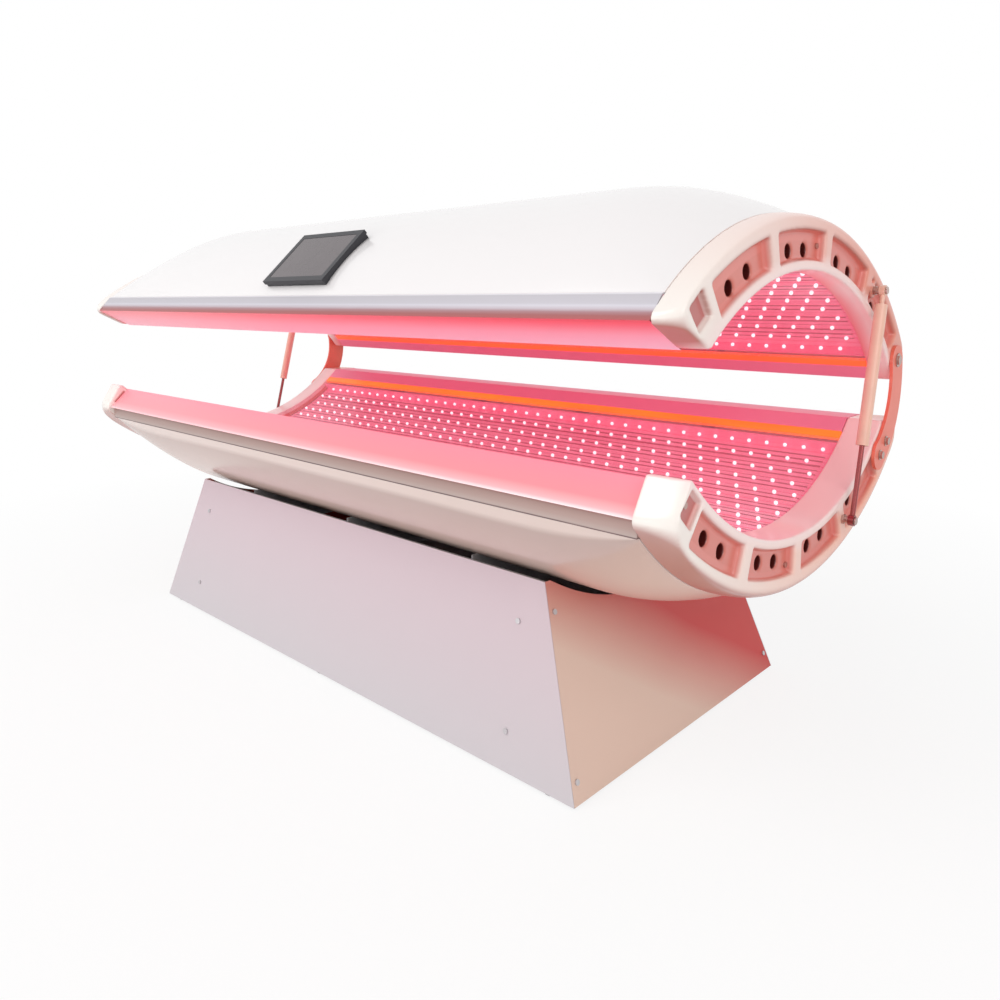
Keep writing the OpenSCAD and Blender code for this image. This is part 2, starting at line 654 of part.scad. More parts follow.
// Base frame
function half_d_at(z) = mix(base_half_d, base_top_half_d, z / base_h);
function half_l_at(z) = mix(base_half_l, base_top_half_l, z / base_h);
panel_skin_d = panel_t / cos(front_tilt) + seat;
panel_skin_l = panel_t / cos(end_tilt) + seat;
low_tube_top = foot_h + tube_w;
low_half_d = half_d_at(low_tube_top) - panel_skin_d;
low_half_l = half_l_at(low_tube_top) - panel_skin_l;
top_tube_top = base_h - 11;
top_half_d = half_d_at(top_tube_top) - panel_skin_d;
end_tube_top = mid_z - shell_drop - 16;
end_half_l = half_l_at(end_tube_top) - panel_skin_l;
top_half_l = half_l_at(top_tube_top) - panel_skin_l;

module square_tube(length) {
  difference() {
    cube([length, tube_w, tube_w]);
    translate([-1, tube_wall, tube_wall]) cube([length + 2, tube_w - 2 * tube_wall, tube_w - 2 * tube_wall]);
  }
}
module long_tube(half_l, y0, z_top) { translate([-half_l, y0, z_top - tube_w]) square_tube(2 * half_l); }
module cross_tube(x0, half_d, z_top) {
  translate([x0 + tube_w, -half_d, z_top - tube_w]) rotate([0, 0, 90]) square_tube(2 * half_d);
}
post_w = tube_w - 4;
post_x = end_half_l - tube_w - post_w;
post_y = top_half_d - tube_w / 2;
module post() {
  post_h = top_tube_top - tube_w - low_tube_top;
  translate([post_x, -post_y - post_w / 2, low_tube_top]) difference() {
    cube([post_w, post_w, post_h]);
    translate([tube_wall, tube_wall, -1]) cube([post_w - 2 * tube_wall, post_w - 2 * tube_wall, post_h + 2]);
  }
}
module saddle(x) {
  saddle_t = 5;
  saddle_low = end_tube_top - tube_w;
  saddle_top = base_h - 4;
  half_w = top_half_d - tube_w - seat;
  along(x - saddle_t / 2, saddle_t) difference() {
    translate([-half_w, saddle_low]) square([2 * half_w, saddle_top - saddle_low]);
    translate([lamp_y0, mid_z + shell_c]) circle(shell_r + seat, $fn = arc_fn);
  }
}

plate_t = 2;
plate_z = low_tube_top;
supply_size = [215, 115, 50];
box_size = [220, 160, 70];
inlet_size = [48, 27];
supply_x = -430;
supply_pitch = 245;
control_x = 330;
foot_inset = 45;
inlet_x = 420;
inlet_z = 110;

module base_floor_plate() {
  color("silver") difference() {
    translate([-low_half_l + tube_w + 8, -low_half_d + 4, plate_z])
      cube([2 * (low_half_l - tube_w - 8), 2 * low_half_d - 8, plate_t]);
    both_ends() for (s = [0, 1]) mirror([0, s, 0])
      translate([post_x - 2, -post_y - post_w / 2 - 2, plate_z - 1])
        cube([post_w + 4, post_w + 4, plate_t + 2]);
  }
}
module base_long_tubes() {
  color("gainsboro") for (s = [0, 1]) mirror([0, s, 0]) {
    long_tube(low_half_l, -low_half_d, low_tube_top);
    long_tube(top_half_l, -top_half_d, top_tube_top);
  }
}
module base_cross_tubes() {
  low_span = low_half_d - tube_w;
  color("gainsboro") {
    both_ends() {
      difference() {
        cross_tube(low_half_l - tube_w, low_span, low_tube_top);
        end_plane() for (p = end_screws) translate([p[0], p[1], -20]) cylinder(h = 30, r = screw_r + 0.1);
      }
      cross_tube(end_half_l - tube_w, half_d_at(end_tube_top) - panel_skin_d - 6, end_tube_top);
    }
    both_ends() cross_tube(post_x - 2, low_span, low_tube_top);
    cross_tube(-tube_w / 2, low_span, low_tube_top);
  }
}
module base_posts() { color("gainsboro") both_ends() for (s = [0, 1]) mirror([0, s, 0]) post(); }
saddle_x = 400;
module base_saddles() { color("gainsboro") for (x = [-saddle_x, 0, saddle_x]) saddle(x); }
module base_feet() {
  color("dimgray") for (x = [foot_inset - low_half_l, 0, low_half_l - foot_inset], y = [-1, 1])
    translate([x, y * (low_half_d - tube_w / 2), 0]) cylinder(h = foot_h, r = foot_d / 2);
}
module base_front_panel() { color("lavender") front_panel(); }
module base_rear_panel() {
  color("lavender") difference() {
    mirror([0, 1, 0]) front_panel();
    translate([inlet_x - inlet_size[0] / 2, base_top_half_d, inlet_z - inlet_size[1] / 2])
      cube([inlet_size[0], base_half_d - base_top_half_d + 10, inlet_size[1]]);
  }
}
module base_right_panel() { color("seashell") end_panel(); }
module base_left_panel() { color("seashell") mirror([1, 0, 0]) end_panel(); }
module panel_screws() {
  color("silver") {
    for (s = [0, 1]) mirror([0, s, 0]) front_plane() for (p = front_screws) translate(p) panel_screw();
    both_ends() end_plane() for (p = end_screws) translate(p) panel_screw();
  }
}
module power_supplies() {
  color("silver") for (i = [0:2])
    translate([supply_x + i * supply_pitch, -supply_size[1] / 2, plate_z + plate_t]) cube(supply_size);
}
module control_box() {
  color("gray") translate([control_x, -box_size[1] / 2, plate_z + plate_t]) cube(box_size);
}
module power_inlet() {
  body_d = 26;
  wall = 5;
  w = inlet_size[0];
  h = inlet_size[1];
  color("black") translate([inlet_x, half_d_at(inlet_z), inlet_z]) rotate([front_tilt, 0, 0]) difference() {
    union() {
      translate([-w / 2 - wall, seat / 2, -h / 2 - wall]) cube([w + 2 * wall, 3, h + 2 * wall]);
      translate([-w / 2 + 1, -body_d, -h / 2 + 4]) cube([w - 2, body_d + 2, h - 8]);
    }
    translate([-w / 2 + 6, -body_d + 6, -h / 2 + 7]) cube([w - 12, body_d, h - 14]);
  }
}

// The bed
module bed_shell() { color("white") bed_half() half_shell(bed_seam, bed_round_len, bed_cap_drop,
  bed_front_r, 42.2, shell_edge_drop, bed_rear_drop); }
module bed_ribs() { color("silver") bed_half() half_ribs(shell_edge_drop, bed_rear_drop); }
module bed_front_rail() {
  trim_y = -shell_half_w + 1;
  color("lightgray") bed_half() rail(bed_seam, [[-lit_half_w, -lit_edge_drop],
    [-rail_nose_w, -bed_rail_drop], [trim_y, -bed_rail_drop - 3], [trim_y, -shell_edge_drop],
    [trim_y + rail_foot, -shell_edge_drop]]);
}
module bed_rear_rail() { color("lightgray") bed_half() half_rear_rail(bed_seam, bed_rear_drop); }
module bed_tray() { color("gainsboro") bed_half() half_tray(bed_seam, lit_edge_drop, bed_rear_drop); }
module bed_light_boards() {
  color("tomato") bed_half() half_light_boards(bed_seam, lit_edge_drop, bed_rear_drop);
}
module bed_clear_sheet() {
  color("hotpink", 0.4) bed_half() half_clear_sheet(bed_seam, lit_edge_drop, bed_rear_drop);
}
module bed_light_strip() { color("darkorange") bed_half() half_light_strip(bed_seam, bed_rear_drop); }
module bed_right_cap() { color("seashell") bed_half() bed_cap(); }
module bed_left_cap() { color("seashell") bed_half() mirror([1, 0, 0]) bed_cap(); }
module bed_cap_screws() {
  color("silver") bed_half() both_ends() {
    pocket_screw(bed_first_pocket, bed_pocket_pitch, bed_vent_r);
    cap_screw(bed_slot[0], bed_slot[1], face_x - tip_slot_depth);
  }
}
module bed_fan_frames() { color("dimgray") bed_half() both_ends() fan_frame(); }
module bed_right_fan_rotor() { color("black") bed_half() fan_rotor(); }
module bed_left_fan_rotor() { color("black") bed_half() mirror([1, 0, 0]) fan_rotor(); }

// The lid
module lid_shell() {
  color("white") difference() {
    lid_half() half_shell(lid_seam, lid_round_len, lid_cap_drop, lid_front_r, 26, lid_shell_edge_drop,
      lid_rear_drop);
    screen_place() translate([-screen_w / 2 + 18, -screen_h / 2 + 18, -60])
      cube([screen_w - 36, screen_h - 36, 100]);
  }
}
module lid_ribs() { color("silver") lid_half() half_ribs(lid_shell_edge_drop, lid_rear_drop); }
module lid_front_rail() {
  top_y = -drop_y(shell_r, shell_c, lid_shell_edge_drop);
  lit_y = -drop_y(lit_r, lit_c, lid_lit_edge_drop);
  color("lightgray") lid_half() rail(lid_seam, [[lit_y, -lid_lit_edge_drop],
    [-lid_rail_nose_w, -lid_rail_drop], [top_y, -lid_shell_edge_drop],
    [top_y + rail_foot, -lid_shell_edge_drop]]);
}
module lid_rear_rail() { color("lightgray") lid_half() half_rear_rail(lid_seam, lid_rear_drop); }
module lid_tray() { color("gainsboro") lid_half() half_tray(lid_seam, lid_lit_edge_drop, lid_rear_drop); }
module lid_light_boards() {
  color("tomato") lid_half() half_light_boards(lid_seam, lid_lit_edge_drop, lid_rear_drop);
}
module lid_clear_sheet() {
  color("hotpink", 0.4) lid_half() half_clear_sheet(lid_seam, lid_lit_edge_drop, lid_rear_drop);
}
module lid_light_strip() { color("darkorange") lid_half() half_light_strip(lid_seam, lid_rear_drop); }
module lid_right_cap() { color("seashell") lid_half() lid_cap(); }
module lid_left_cap() { color("seashell") lid_half() mirror([1, 0, 0]) lid_cap(); }
module lid_cap_screws() {
  color("silver") lid_half() both_ends() pocket_screw(lid_first_pocket, lid_pocket_pitch, lid_vent_r);
}
module lid_fan_frames() { color("dimgray") lid_half() both_ends() fan_frame(); }
module lid_right_fan_rotor() { color("black") lid_half() fan_rotor(); }
module lid_left_fan_rotor() { color("black") lid_half() mirror([1, 0, 0]) fan_rotor(); }

// Touch screen on the lid's front slope
screen_r = shell_r + 3;
module screen_place() {
  translate([screen_x, lamp_y0, mid_z - shell_c])
    translate(screen_r * [0, -sin(screen_place_a), cos(screen_place_a)])
      rotate([screen_tilt, 0, 0]) children();
}
module screen_plinth() {
  color("dimgray") difference() {
    screen_place() difference() {
      translate([-screen_w / 2 + 2, -screen_h / 2 + 2, -14]) cube([screen_w - 4, screen_h - 4, 14]);
      translate([-screen_w / 2 + 20, -screen_h / 2 + 20, -15]) cube([screen_w - 40, screen_h - 40, 20]);
    }
    lid_half() pin(-screen_w, 3 * screen_w, shell_r + seat, 0, shell_c, $fn = arc_fn);
  }
}
module screen_bezel() {
  color("black") screen_place() difference() {
    union() {
      translate([-screen_w / 2, -screen_h / 2, 0]) cube([screen_w, screen_h, screen_t]);
      translate([-screen_w / 2 + 21, -screen_h / 2 + 21, -30]) cube([screen_w - 42, screen_h - 42, 31]);
    }
    translate([-screen_w / 2 + screen_rim, -screen_h / 2 + screen_rim, screen_t - 3])
      cube([screen_w - 2 * screen_rim, screen_h - 2 * screen_rim, 4]);
  }
}
module screen_glass() {
  color("dimgray") screen_place()
    translate([-screen_w / 2 + screen_rim + 0.2, -screen_h / 2 + screen_rim + 0.2, screen_t - 3])
      cube([screen_w - 2 * screen_rim - 0.4, screen_h - 2 * screen_rim - 0.4, 2.5]);
}

// Hinges: arms on the bed's caps, pins through them and bushes in the lid's caps
arm_x = face_x + 0.4;
arm_r = arm_w / 2;
arm_foot = [arm_foot_w, -arm_foot_drop];
arm_c = arc_centre(pivot, arm_foot, arm_bend_r);
arm_foot_a = atan2(arm_foot[1] - arm_c[1], arm_foot[0] - arm_c[0]);
arm_pivot_a = atan2(pivot[1] - arm_c[1], pivot[0] - arm_c[0]);
arm_bolts = [for (a = [arm_foot_a, arm_foot_a + arm_bolt_a]) arm_c + arm_bend_r * [cos(a), sin(a)]];
arm_bolt_r = 5;
module hinge_arm() {
  band_r = arm_w / 2 - 1;
  difference() {
    union() {
      along(arm_x, arm_t) translate([arm_c[0], 0])
        sector_2d(arm_c[1], arm_bend_r - band_r, arm_bend_r + band_r, arm_foot_a + 90, arm_pivot_a + 90);
      for (p = [pivot, arm_foot]) pin(arm_x, arm_t, arm_w / 2, p[0], p[1]);
    }
    pin(arm_x - 1, arm_t + 2, pivot_d / 2 + fit, pivot[0], pivot[1]);
    for (p = arm_bolts) pin(arm_x - 1, arm_t + 2, arm_bolt_r + 0.1, p[0], p[1]);
  }
}
module right_hinge_arm() { color("seashell") bed_half() hinge_arm(); }
module left_hinge_arm() { color("seashell") bed_half() mirror([1, 0, 0]) hinge_arm(); }
module hinge_arm_bolts() {
  color("silver") bed_half() both_ends() for (p = arm_bolts) {
    pin(arm_x + arm_t, 1.5, 10, p[0], p[1]);
    along(arm_x + arm_t + 1.5, 5) translate(p) circle(8, $fn = 6);
    pin(arm_x, arm_t + hair, arm_bolt_r, p[0], p[1]);
  }
}
module hinge_pins() {
  color("silver") bed_half() both_ends() {
    pin(face_x - bush_len + 2, arm_x + arm_t - face_x + bush_len - 2, pivot_d / 2, pivot[0], pivot[1]);
    pin(arm_x + arm_t, 2, pivot_d / 2 + 6, pivot[0], pivot[1]);
    along(arm_x + arm_t + 2, 3) translate(pivot) circle(pivot_d / 2 + 2, $fn = 6);
  }
}
module hinge_bushes() {
  color("silver") lid_half() both_ends() difference() {
    pin(face_x - bush_len, bush_len, bush_r, pivot[0], -pivot[1]);
    pin(face_x - bush_len - 1, bush_len + 2, pivot_d / 2 + fit, pivot[0], -pivot[1]);
  }
}

// Gas struts: a tube on the lid's stud and a rod on the bed's stud
eye_w = 10;
eye_x = face_x + 12;
eye_r = stud_d / 2 + 5;
strut_dy = strut_top_y - strut_low_y;
strut_dz = strut_top_z - strut_low_z;
strut_len = norm([strut_dy, strut_dz]);
strut_lean = atan(strut_dy / strut_dz);
strut_neck = 27;
// Frame with its origin at the lower pivot and +Z towards the upper one
module strut_place() {
  translate([eye_x + eye_w / 2, strut_low_y, strut_low_z]) rotate([-strut_lean, 0, 0]) children();
}
module eyelet(z) {
  difference() {
    pin(-eye_w / 2, eye_w, eye_r, 0, z);
    pin(-eye_w, 2 * eye_w, stud_d / 2 + fit, 0, z);
  }
}
module strut_tube() {
  tube_r = strut_tube_d / 2;
  top_z = strut_len - strut_neck;
  plug = 6;
  strut_place() {
    eyelet(strut_len);
    translate([0, 0, top_z - hair]) cylinder(h = strut_neck - stud_d / 2 - 2, r = 4.5);
    difference() {
      translate([0, 0, top_z - strut_tube_len]) cylinder(h = strut_tube_len, r = tube_r);
      translate([0, 0, top_z - strut_tube_len - 1])
        cylinder(h = strut_tube_len - plug + 1, r = tube_r - strut_tube_wall);
    }
  }
}
module strut_rod() {
  neck_z = stud_d / 2 + 2;
  strut_place() {
    eyelet(0);
    translate([0, 0, neck_z]) cylinder(h = strut_rod_len - neck_z, r = strut_rod_d / 2);
  }
}
module strut_stud(y, z) {
  along(face_x, 5) translate([y, z]) circle(9, $fn = 6);
  pin(face_x + 5 - hair, 6, 7, y, z);
  pin(face_x + 11 - 2 * hair, eye_x + eye_w + 3 - face_x - 11, stud_d / 2, y, z);
  pin(eye_x + eye_w + 0.5, 2.5, stud_d / 2 + 2, y, z);
}
module right_strut_tube() { color("ivory") strut_tube(); }
module left_strut_tube() { color("ivory") mirror([1, 0, 0]) strut_tube(); }
module right_strut_rod() { color("gray") strut_rod(); }
module left_strut_rod() { color("gray") mirror([1, 0, 0]) strut_rod(); }
module bed_strut_studs() { color("silver") both_ends() strut_stud(strut_low_y, strut_low_z); }
module lid_strut_studs() { color("silver") both_ends() strut_stud(strut_top_y, strut_top_z); }

base_long_tubes();
base_cross_tubes();
base_posts();
base_saddles();
base_floor_plate();
base_feet();
base_front_panel();
base_rear_panel();
base_left_panel();
base_right_panel();
panel_screws();
power_supplies();
control_box();
power_inlet();
bed_shell();
bed_ribs();
bed_front_rail();
bed_rear_rail();
bed_tray();
bed_light_boards();
bed_clear_sheet();
bed_light_strip();
bed_left_cap();
bed_right_cap();
bed_cap_screws();
bed_fan_frames();
bed_left_fan_rotor();
bed_right_fan_rotor();
left_hinge_arm();
right_hinge_arm();
hinge_arm_bolts();
hinge_pins();
bed_strut_studs();
lid_shell();
lid_ribs();
lid_front_rail();
lid_rear_rail();
lid_tray();
lid_light_boards();
lid_clear_sheet();
lid_light_strip();
lid_left_cap();
lid_right_cap();
lid_cap_screws();
lid_fan_frames();
lid_left_fan_rotor();
lid_right_fan_rotor();
hinge_bushes();
lid_strut_studs();
screen_plinth();
screen_bezel();
screen_glass();
left_strut_tube();
left_strut_rod();
right_strut_tube();
right_strut_rod();
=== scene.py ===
"""A clamshell light bed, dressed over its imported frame.

The curved shells, the moulded end caps and the rows of lamps are made here. Every other piece is
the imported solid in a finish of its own.
"""
import logging
import math
from dataclasses import dataclass
from enum import Enum
from typing import Any, Optional, Sequence

import bmesh
import bpy
from bpy.types import Material, Node, NodeSocket, NodeTree, Object
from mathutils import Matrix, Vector


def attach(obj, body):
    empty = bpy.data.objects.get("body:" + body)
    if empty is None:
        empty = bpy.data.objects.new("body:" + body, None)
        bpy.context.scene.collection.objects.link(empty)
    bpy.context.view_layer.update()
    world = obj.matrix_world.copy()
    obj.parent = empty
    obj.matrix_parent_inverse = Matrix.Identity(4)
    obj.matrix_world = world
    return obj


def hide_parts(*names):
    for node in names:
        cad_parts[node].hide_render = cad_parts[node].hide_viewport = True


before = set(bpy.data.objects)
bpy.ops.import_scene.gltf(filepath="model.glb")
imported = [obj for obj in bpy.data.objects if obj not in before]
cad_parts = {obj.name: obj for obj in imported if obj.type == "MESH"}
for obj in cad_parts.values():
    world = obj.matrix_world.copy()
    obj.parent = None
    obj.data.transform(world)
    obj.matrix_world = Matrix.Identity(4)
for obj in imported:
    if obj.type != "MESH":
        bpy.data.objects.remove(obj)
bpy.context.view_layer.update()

log = logging.getLogger("light_bed")
MM = 0.001
Point2 = tuple[float, float]
Point3 = tuple[float, float, float]
Colour = tuple[float, float, float]
Stops = tuple[tuple[float, Colour], ...]
WHITE = (1.0, 1.0, 1.0)
BLACK = (0.0, 0.0, 0.0)


class Half(Enum):
    """The two halves of the tunnel; the value is a half's side of the middle plane."""

    BED = -1
    LID = 1

    @property
    def word(self) -> str:
        """The half's name in the CAD nodes."""
        return self.name.lower()

    @property
    def body(self) -> str:
        """The body that carries the half."""
        return "base" if self is Half.BED else "lid"


def arc_radius(half_width: float, rise: float) -> float:
    """Radius of an arc from half its width and its rise."""
    return (half_width ** 2 + rise ** 2) / (2 * rise)


def mix(a: float, b: float, t: float) -> float:
    """The value t of the way from a to b."""
    return a + (b - a) * t


def steps(a: float, b: float, n: int) -> list[float]:
    """n values from a towards b, without b itself."""
    return [mix(a, b, i / n) for i in range(n)]


def run_through(bends: Sequence[float], counts: Sequence[int]) -> list[float]:
    """Values from the first bend to the last, with a count of steps between each two."""
    return [v for a, b, n in zip(bends, bends[1:], counts) for v in steps(a, b, n)] + [bends[-1]]


def turn_point(a: float, drop: float, r: float, brk: float, tip: float) -> Point2:
    """Point where an outline has turned by an angle from level.

    Args:
        a: The turn in radians, negative towards the front.
        drop: The outline's lowest point.
        r: Radius up to the turn brk.
        brk: Turn at which the radius changes.
        tip: Radius beyond it.

    Returns:
        y and z in the tunnel frame.
    """
    t = abs(a)
    b = min(t, brk)
    y = r * math.sin(b) + tip * (math.sin(t) - math.sin(b))
    return math.copysign(y, a), -drop + r * (1 - math.cos(b)) + tip * (math.cos(b) - math.cos(t))


@dataclass(frozen=True)
class Tunnel:
    """Sizes that both halves share, in millimetres, in the tunnel's own frame.

    The frame has y from the centre line and z from the middle plane, drawn for the lower half.
    """

    mid_z: float = 657.0
    forward: float = 34.0
    lit_r: float = arc_radius(353.0, 218.0 - 80.0)
    lit_drop: float = 218.0
    shell_r: float = arc_radius(394.0, 376.0 - 158.0)
    shell_drop: float = 376.0
    face_x: float = 947.0

    @property
    def lit_c(self) -> float:
        """Height of the lit arc's centre over the middle plane."""
        return self.lit_r - self.lit_drop

    @property
    def shell_c(self) -> float:
        """Height of the shell arc's centre over the middle plane."""
        return self.shell_r - self.shell_drop

    def lit_angle(self, drop: float) -> float:
        """Angle of the lit surface from straight down at a drop, in radians."""
        return math.acos((self.lit_c + drop) / self.lit_r)

    def lit_y(self, drop: float) -> float:
        """Half width of the lit surface at a drop."""
        return math.sqrt(self.lit_r ** 2 - (self.lit_c + drop) ** 2)

    def on_lit(self, out: float, degrees: float) -> Point2:
        """Point at a distance behind the lit surface and an angle from straight down."""
        a, r = math.radians(degrees), self.lit_r + out
        return r * math.sin(a), self.lit_c - r * math.cos(a)

    def place(self, half: Half, x: float, y: float, z: float) -> Point3:
        """Takes a point of a half's tunnel frame, in millimetres, to the bed's frame, in metres."""
        return x * MM, (y - self.forward) * MM, (self.mid_z - half.value * z) * MM


TUNNEL = Tunnel()


@dataclass(frozen=True)
class Outline:
    """Outline of an end cap at its seam or its face, in millimetres."""

    drop: float
    front_r: float
    nose_r: float
    rim: float
    rear_r: float
    rear_w: float
    corner_r: float = 30.0

    def tip(self, drop: float) -> Point2:
        """The outline's front tip, at a drop from the middle plane."""
        return -TUNNEL.lit_y(drop) - self.rim, -drop

    def nose_turn(self, ledge: float, drop: float) -> float:
        """Turn at which the front arc meets the nose.

        Args:
            ledge: Turn of the ledge that runs from the nose to the tip, in radians.
            drop: Drop of the tip.

        Returns:
            The turn in radians.
        """
        y, z = self.tip(drop)
        reach = -y * math.sin(ledge) - (z - self.front_r + self.drop) * math.cos(ledge)
        return ledge - math.acos((reach - self.nose_r) / (self.front_r - self.nose_r))

    def corner_turn(self) -> float:
        """Turn at which the rear arc meets the rear corner, in radians."""
        return math.asin((self.rear_w - self.corner_r) / (self.rear_r - self.corner_r))


@dataclass(frozen=True)
class HalfShape:
    """Sizes of one half, in millimetres and degrees of the tunnel frame.

    The shell, the rear edge and the tip are drops from the middle plane. A slot is placed by its
    distance behind the lit surface and its angle from straight down, a boss by its y and z.
    """

    shell: float
    rear: float
    tip: float
    seam_x: float
    round_len: float
    rear_turn: float
    ledge: float
    seam: Outline
    face: Outline
    first_pocket: float
    pitch: float
    vent_out: float
    slot: Point2
    boss: Point2
    slot_angle: float = 3.9
    slot_len: float = 44.0
    pockets: int = 4


SHAPES = {
    Half.BED: HalfShape(
        shell=158.0, rear=67.0, tip=69.0, seam_x=878.0, round_len=210.0, rear_turn=42.2, ledge=121.0,
        seam=Outline(321.0, arc_radius(418.0, 195.0), 18.0, 12.0, 560.0, 451.0),
        face=Outline(298.0, arc_radius(398.0, 140.0), 55.0, 4.0, 645.0, 446.0),
        first_pocket=-30.6, pitch=19.5, vent_out=39.0, slot=(31.0, -41.6), boss=(176.0, -228.0)),
    Half.LID: HalfShape(
        shell=180.0, rear=11.0, tip=104.0, seam_x=902.0, round_len=265.0, rear_turn=26.0, ledge=153.0,
        seam=Outline(311.0, arc_radius(418.0, 168.0), 12.0, 16.0, 640.0, 478.0),
        face=Outline(298.0, arc_radius(398.0, 135.0), 30.0, 6.0, 590.0, 466.0),
        first_pocket=-24.8, pitch=20.6, vent_out=32.0, slot=(58.0, -37.9), boss=(280.0, -188.0)),
}


# Node trees

@dataclass(frozen=True)
class Val:
    """A number on a node's socket that takes part in Python expressions."""

    tree: NodeTree
    socket: NodeSocket

    def math(self, op: str, other: Any = None, clamp: bool = False) -> "Val":
        """Adds one Math node.

        Args:
            op: The node's operation.
            other: The other value, if the operation has one.
            clamp: Whether the result is kept from 0 to 1.

        Returns:
            The result.
        """
        n = self.tree.nodes.new("ShaderNodeMath")
        n.operation, n.use_clamp = op, clamp
        for socket, v in zip(n.inputs, (self, other)):
            if isinstance(v, Val):
                self.tree.links.new(v.socket, socket)
            elif v is not None:
                socket.default_value = v
        return Val(self.tree, n.outputs[0])

    def __add__(self, o: Any) -> "Val":
        """Sum."""
        return self.math("ADD", o)

    __radd__ = __add__

    def __sub__(self, o: Any) -> "Val":
        """Difference."""
        return self.math("SUBTRACT", o)

    def __rsub__(self, o: Any) -> "Val":
        """Reflected difference."""
        return self * -1.0 + o

    def __mul__(self, o: Any) -> "Val":
        """Product."""
        return self.math("MULTIPLY", o)

    __rmul__ = __mul__

    def __abs__(self) -> "Val":
        """Size without sign."""
        return self.math("ABSOLUTE")

    def ramp(self, lo: float, hi: float, unit: float = 1.0) -> "Val":
        """0 at lo units and 1 at hi units, straight between and level beyond."""
        return (self - lo * unit).math("MULTIPLY", 1.0 / ((hi - lo) * unit), clamp=True)

    def band(self, lo: float, hi: float, soft: float) -> "Val":
        """1 between lo and hi, with soft edges inside them."""
        return self.ramp(lo, lo + soft) * self.ramp(hi, hi - soft)


class Nodes:
    """A node tree under construction."""

    def __init__(self, tree: NodeTree) -> None:
        """Takes a tree and empties it."""
        self.tree = tree
        self.tree.nodes.clear()

    def node(self, kind: str, settings: Optional[dict[str, Any]] = None,
             inputs: Optional[dict[Any, Any]] = None) -> Node:
        """Adds any node.

        Args:
            kind: The node's type.
            settings: Its properties, set first.
            inputs: Values or links of its sockets, by name or number.

        Returns:
            The node.
        """
        n = self.tree.nodes.new(kind)
        for key, value in (settings or {}).items():
            setattr(n, key, value)
        for key, value in (inputs or {}).items():
            self.feed(n.inputs[key], value)
        return n

    def feed(self, socket: NodeSocket, value: Any) -> None:
        """Links or sets a socket.

        Args:
            socket: The socket.
            value: A number, a colour, a Val, a socket, or a node for its first output.
        """
        if isinstance(value, Node):
            value = value.outputs[0]
        if isinstance(value, Val):
            value = value.socket
        if isinstance(value, NodeSocket):
            self.tree.links.new(value, socket)
        else:
            socket.default_value = (*value, 1.0) if socket.type == "RGBA" else value

    def values(self, kind: str, *outputs: Any) -> list[Val]:
        """Some outputs of a new node, by name or number, as values for expressions."""
        n = self.node(kind)
        return [Val(self.tree, n.outputs[key]) for key in outputs]


class Paint(Nodes):
    """A material under construction, with one Principled shader."""

    def __init__(self, name: str) -> None:
        """Starts a material.

        Args:
            name: The finish's name.
        """
        self.mat = bpy.data.materials.new(name)
        self.mat.use_nodes = True
        super().__init__(self.mat.node_tree)
        self.out = self.node("ShaderNodeOutputMaterial")
        self.shader = self.node("ShaderNodeBsdfPrincipled")
        self.feed(self.out.inputs[0], self.shader)

    def coordinates(self, output: str = "Object") -> list[Val]:
        """One output of Texture Coordinate: the place in metres or, as "Normal", the direction."""
        sep = self.node("ShaderNodeSeparateXYZ", inputs={0: self.values("ShaderNodeTexCoord", output)[0]})
        return [Val(self.tree, s) for s in sep.outputs]

    def tunnel(self, half: Half) -> tuple[Val, Val]:
        """The surface's y and z in a half's tunnel frame, in metres."""
        _, y, z = self.coordinates()
        return y + TUNNEL.forward * MM, (TUNNEL.mid_z * MM - z) * float(half.value)

    def noise(self, scale: float, detail: float = 2.0, stretch: Point3 = (1.0, 1.0, 1.0)) -> Val:
        """Noise on Object coordinates.

        Args:
            scale: Waves to a metre.
            detail: Octaves.
            stretch: How much the pattern is squeezed along each axis.

        Returns:
            The noise from 0 to 1.
        """
        at, = self.values("ShaderNodeTexCoord", "Object")
        vector = self.node("ShaderNodeMapping", inputs={"Vector": at, "Scale": stretch})
        n = self.node("ShaderNodeTexNoise", inputs={"Vector": vector, "Scale": scale, "Detail": detail})
        return Val(self.tree, n.outputs[0])

    def blend(self, mask: Val, a: Any, b: Any) -> NodeSocket:
        """Colour a where the mask is 0 and b where it is 1."""
        return self.node("ShaderNodeMix", {"data_type": "RGBA"}, {0: mask, 6: a, 7: b}).outputs[2]

    def gradient(self, value: Val, stops: Stops, unit: float = 1.0) -> NodeSocket:
        """Colours along a value.

        Args:
            value: What the colour follows.
            stops: Places with their colours, from one end to the other.
            unit: The size of one unit of the places, as the value measures it.

        Returns:
            The colour.
        """
        lo, hi = stops[0][0], stops[-1][0]
        n = self.node("ShaderNodeValToRGB", inputs={0: value.ramp(lo, hi, unit)})
        elements = n.color_ramp.elements
        while len(elements) < len(stops):
            elements.new(0.5)
        for element, (at, colour) in zip(elements, stops):
            element.position, element.color = (at - lo) / (hi - lo), (*colour, 1.0)
        return n.outputs[0]

    def bump(self, height: Val, depth: float, strength: float) -> None:
        """Feeds a height to the shader's normal."""
        self.set(Normal=self.node(
            "ShaderNodeBump", inputs={"Strength": strength, "Distance": depth, "Height": height}))

    def set(self, **values: Any) -> None:
        """Sets the shader's sockets; an underscore stands for a space."""
        for key, value in values.items():
            self.feed(self.shader.inputs[key.replace("_", " ")], value)


def arc_distance(y: Val, z: Val, centre: float) -> Val:
    """Distance in metres from an arc's axis, whose height over the middle plane is in millimetres."""
    dz = z - centre * MM
    return (y * y + dz * dz).math("SQRT")


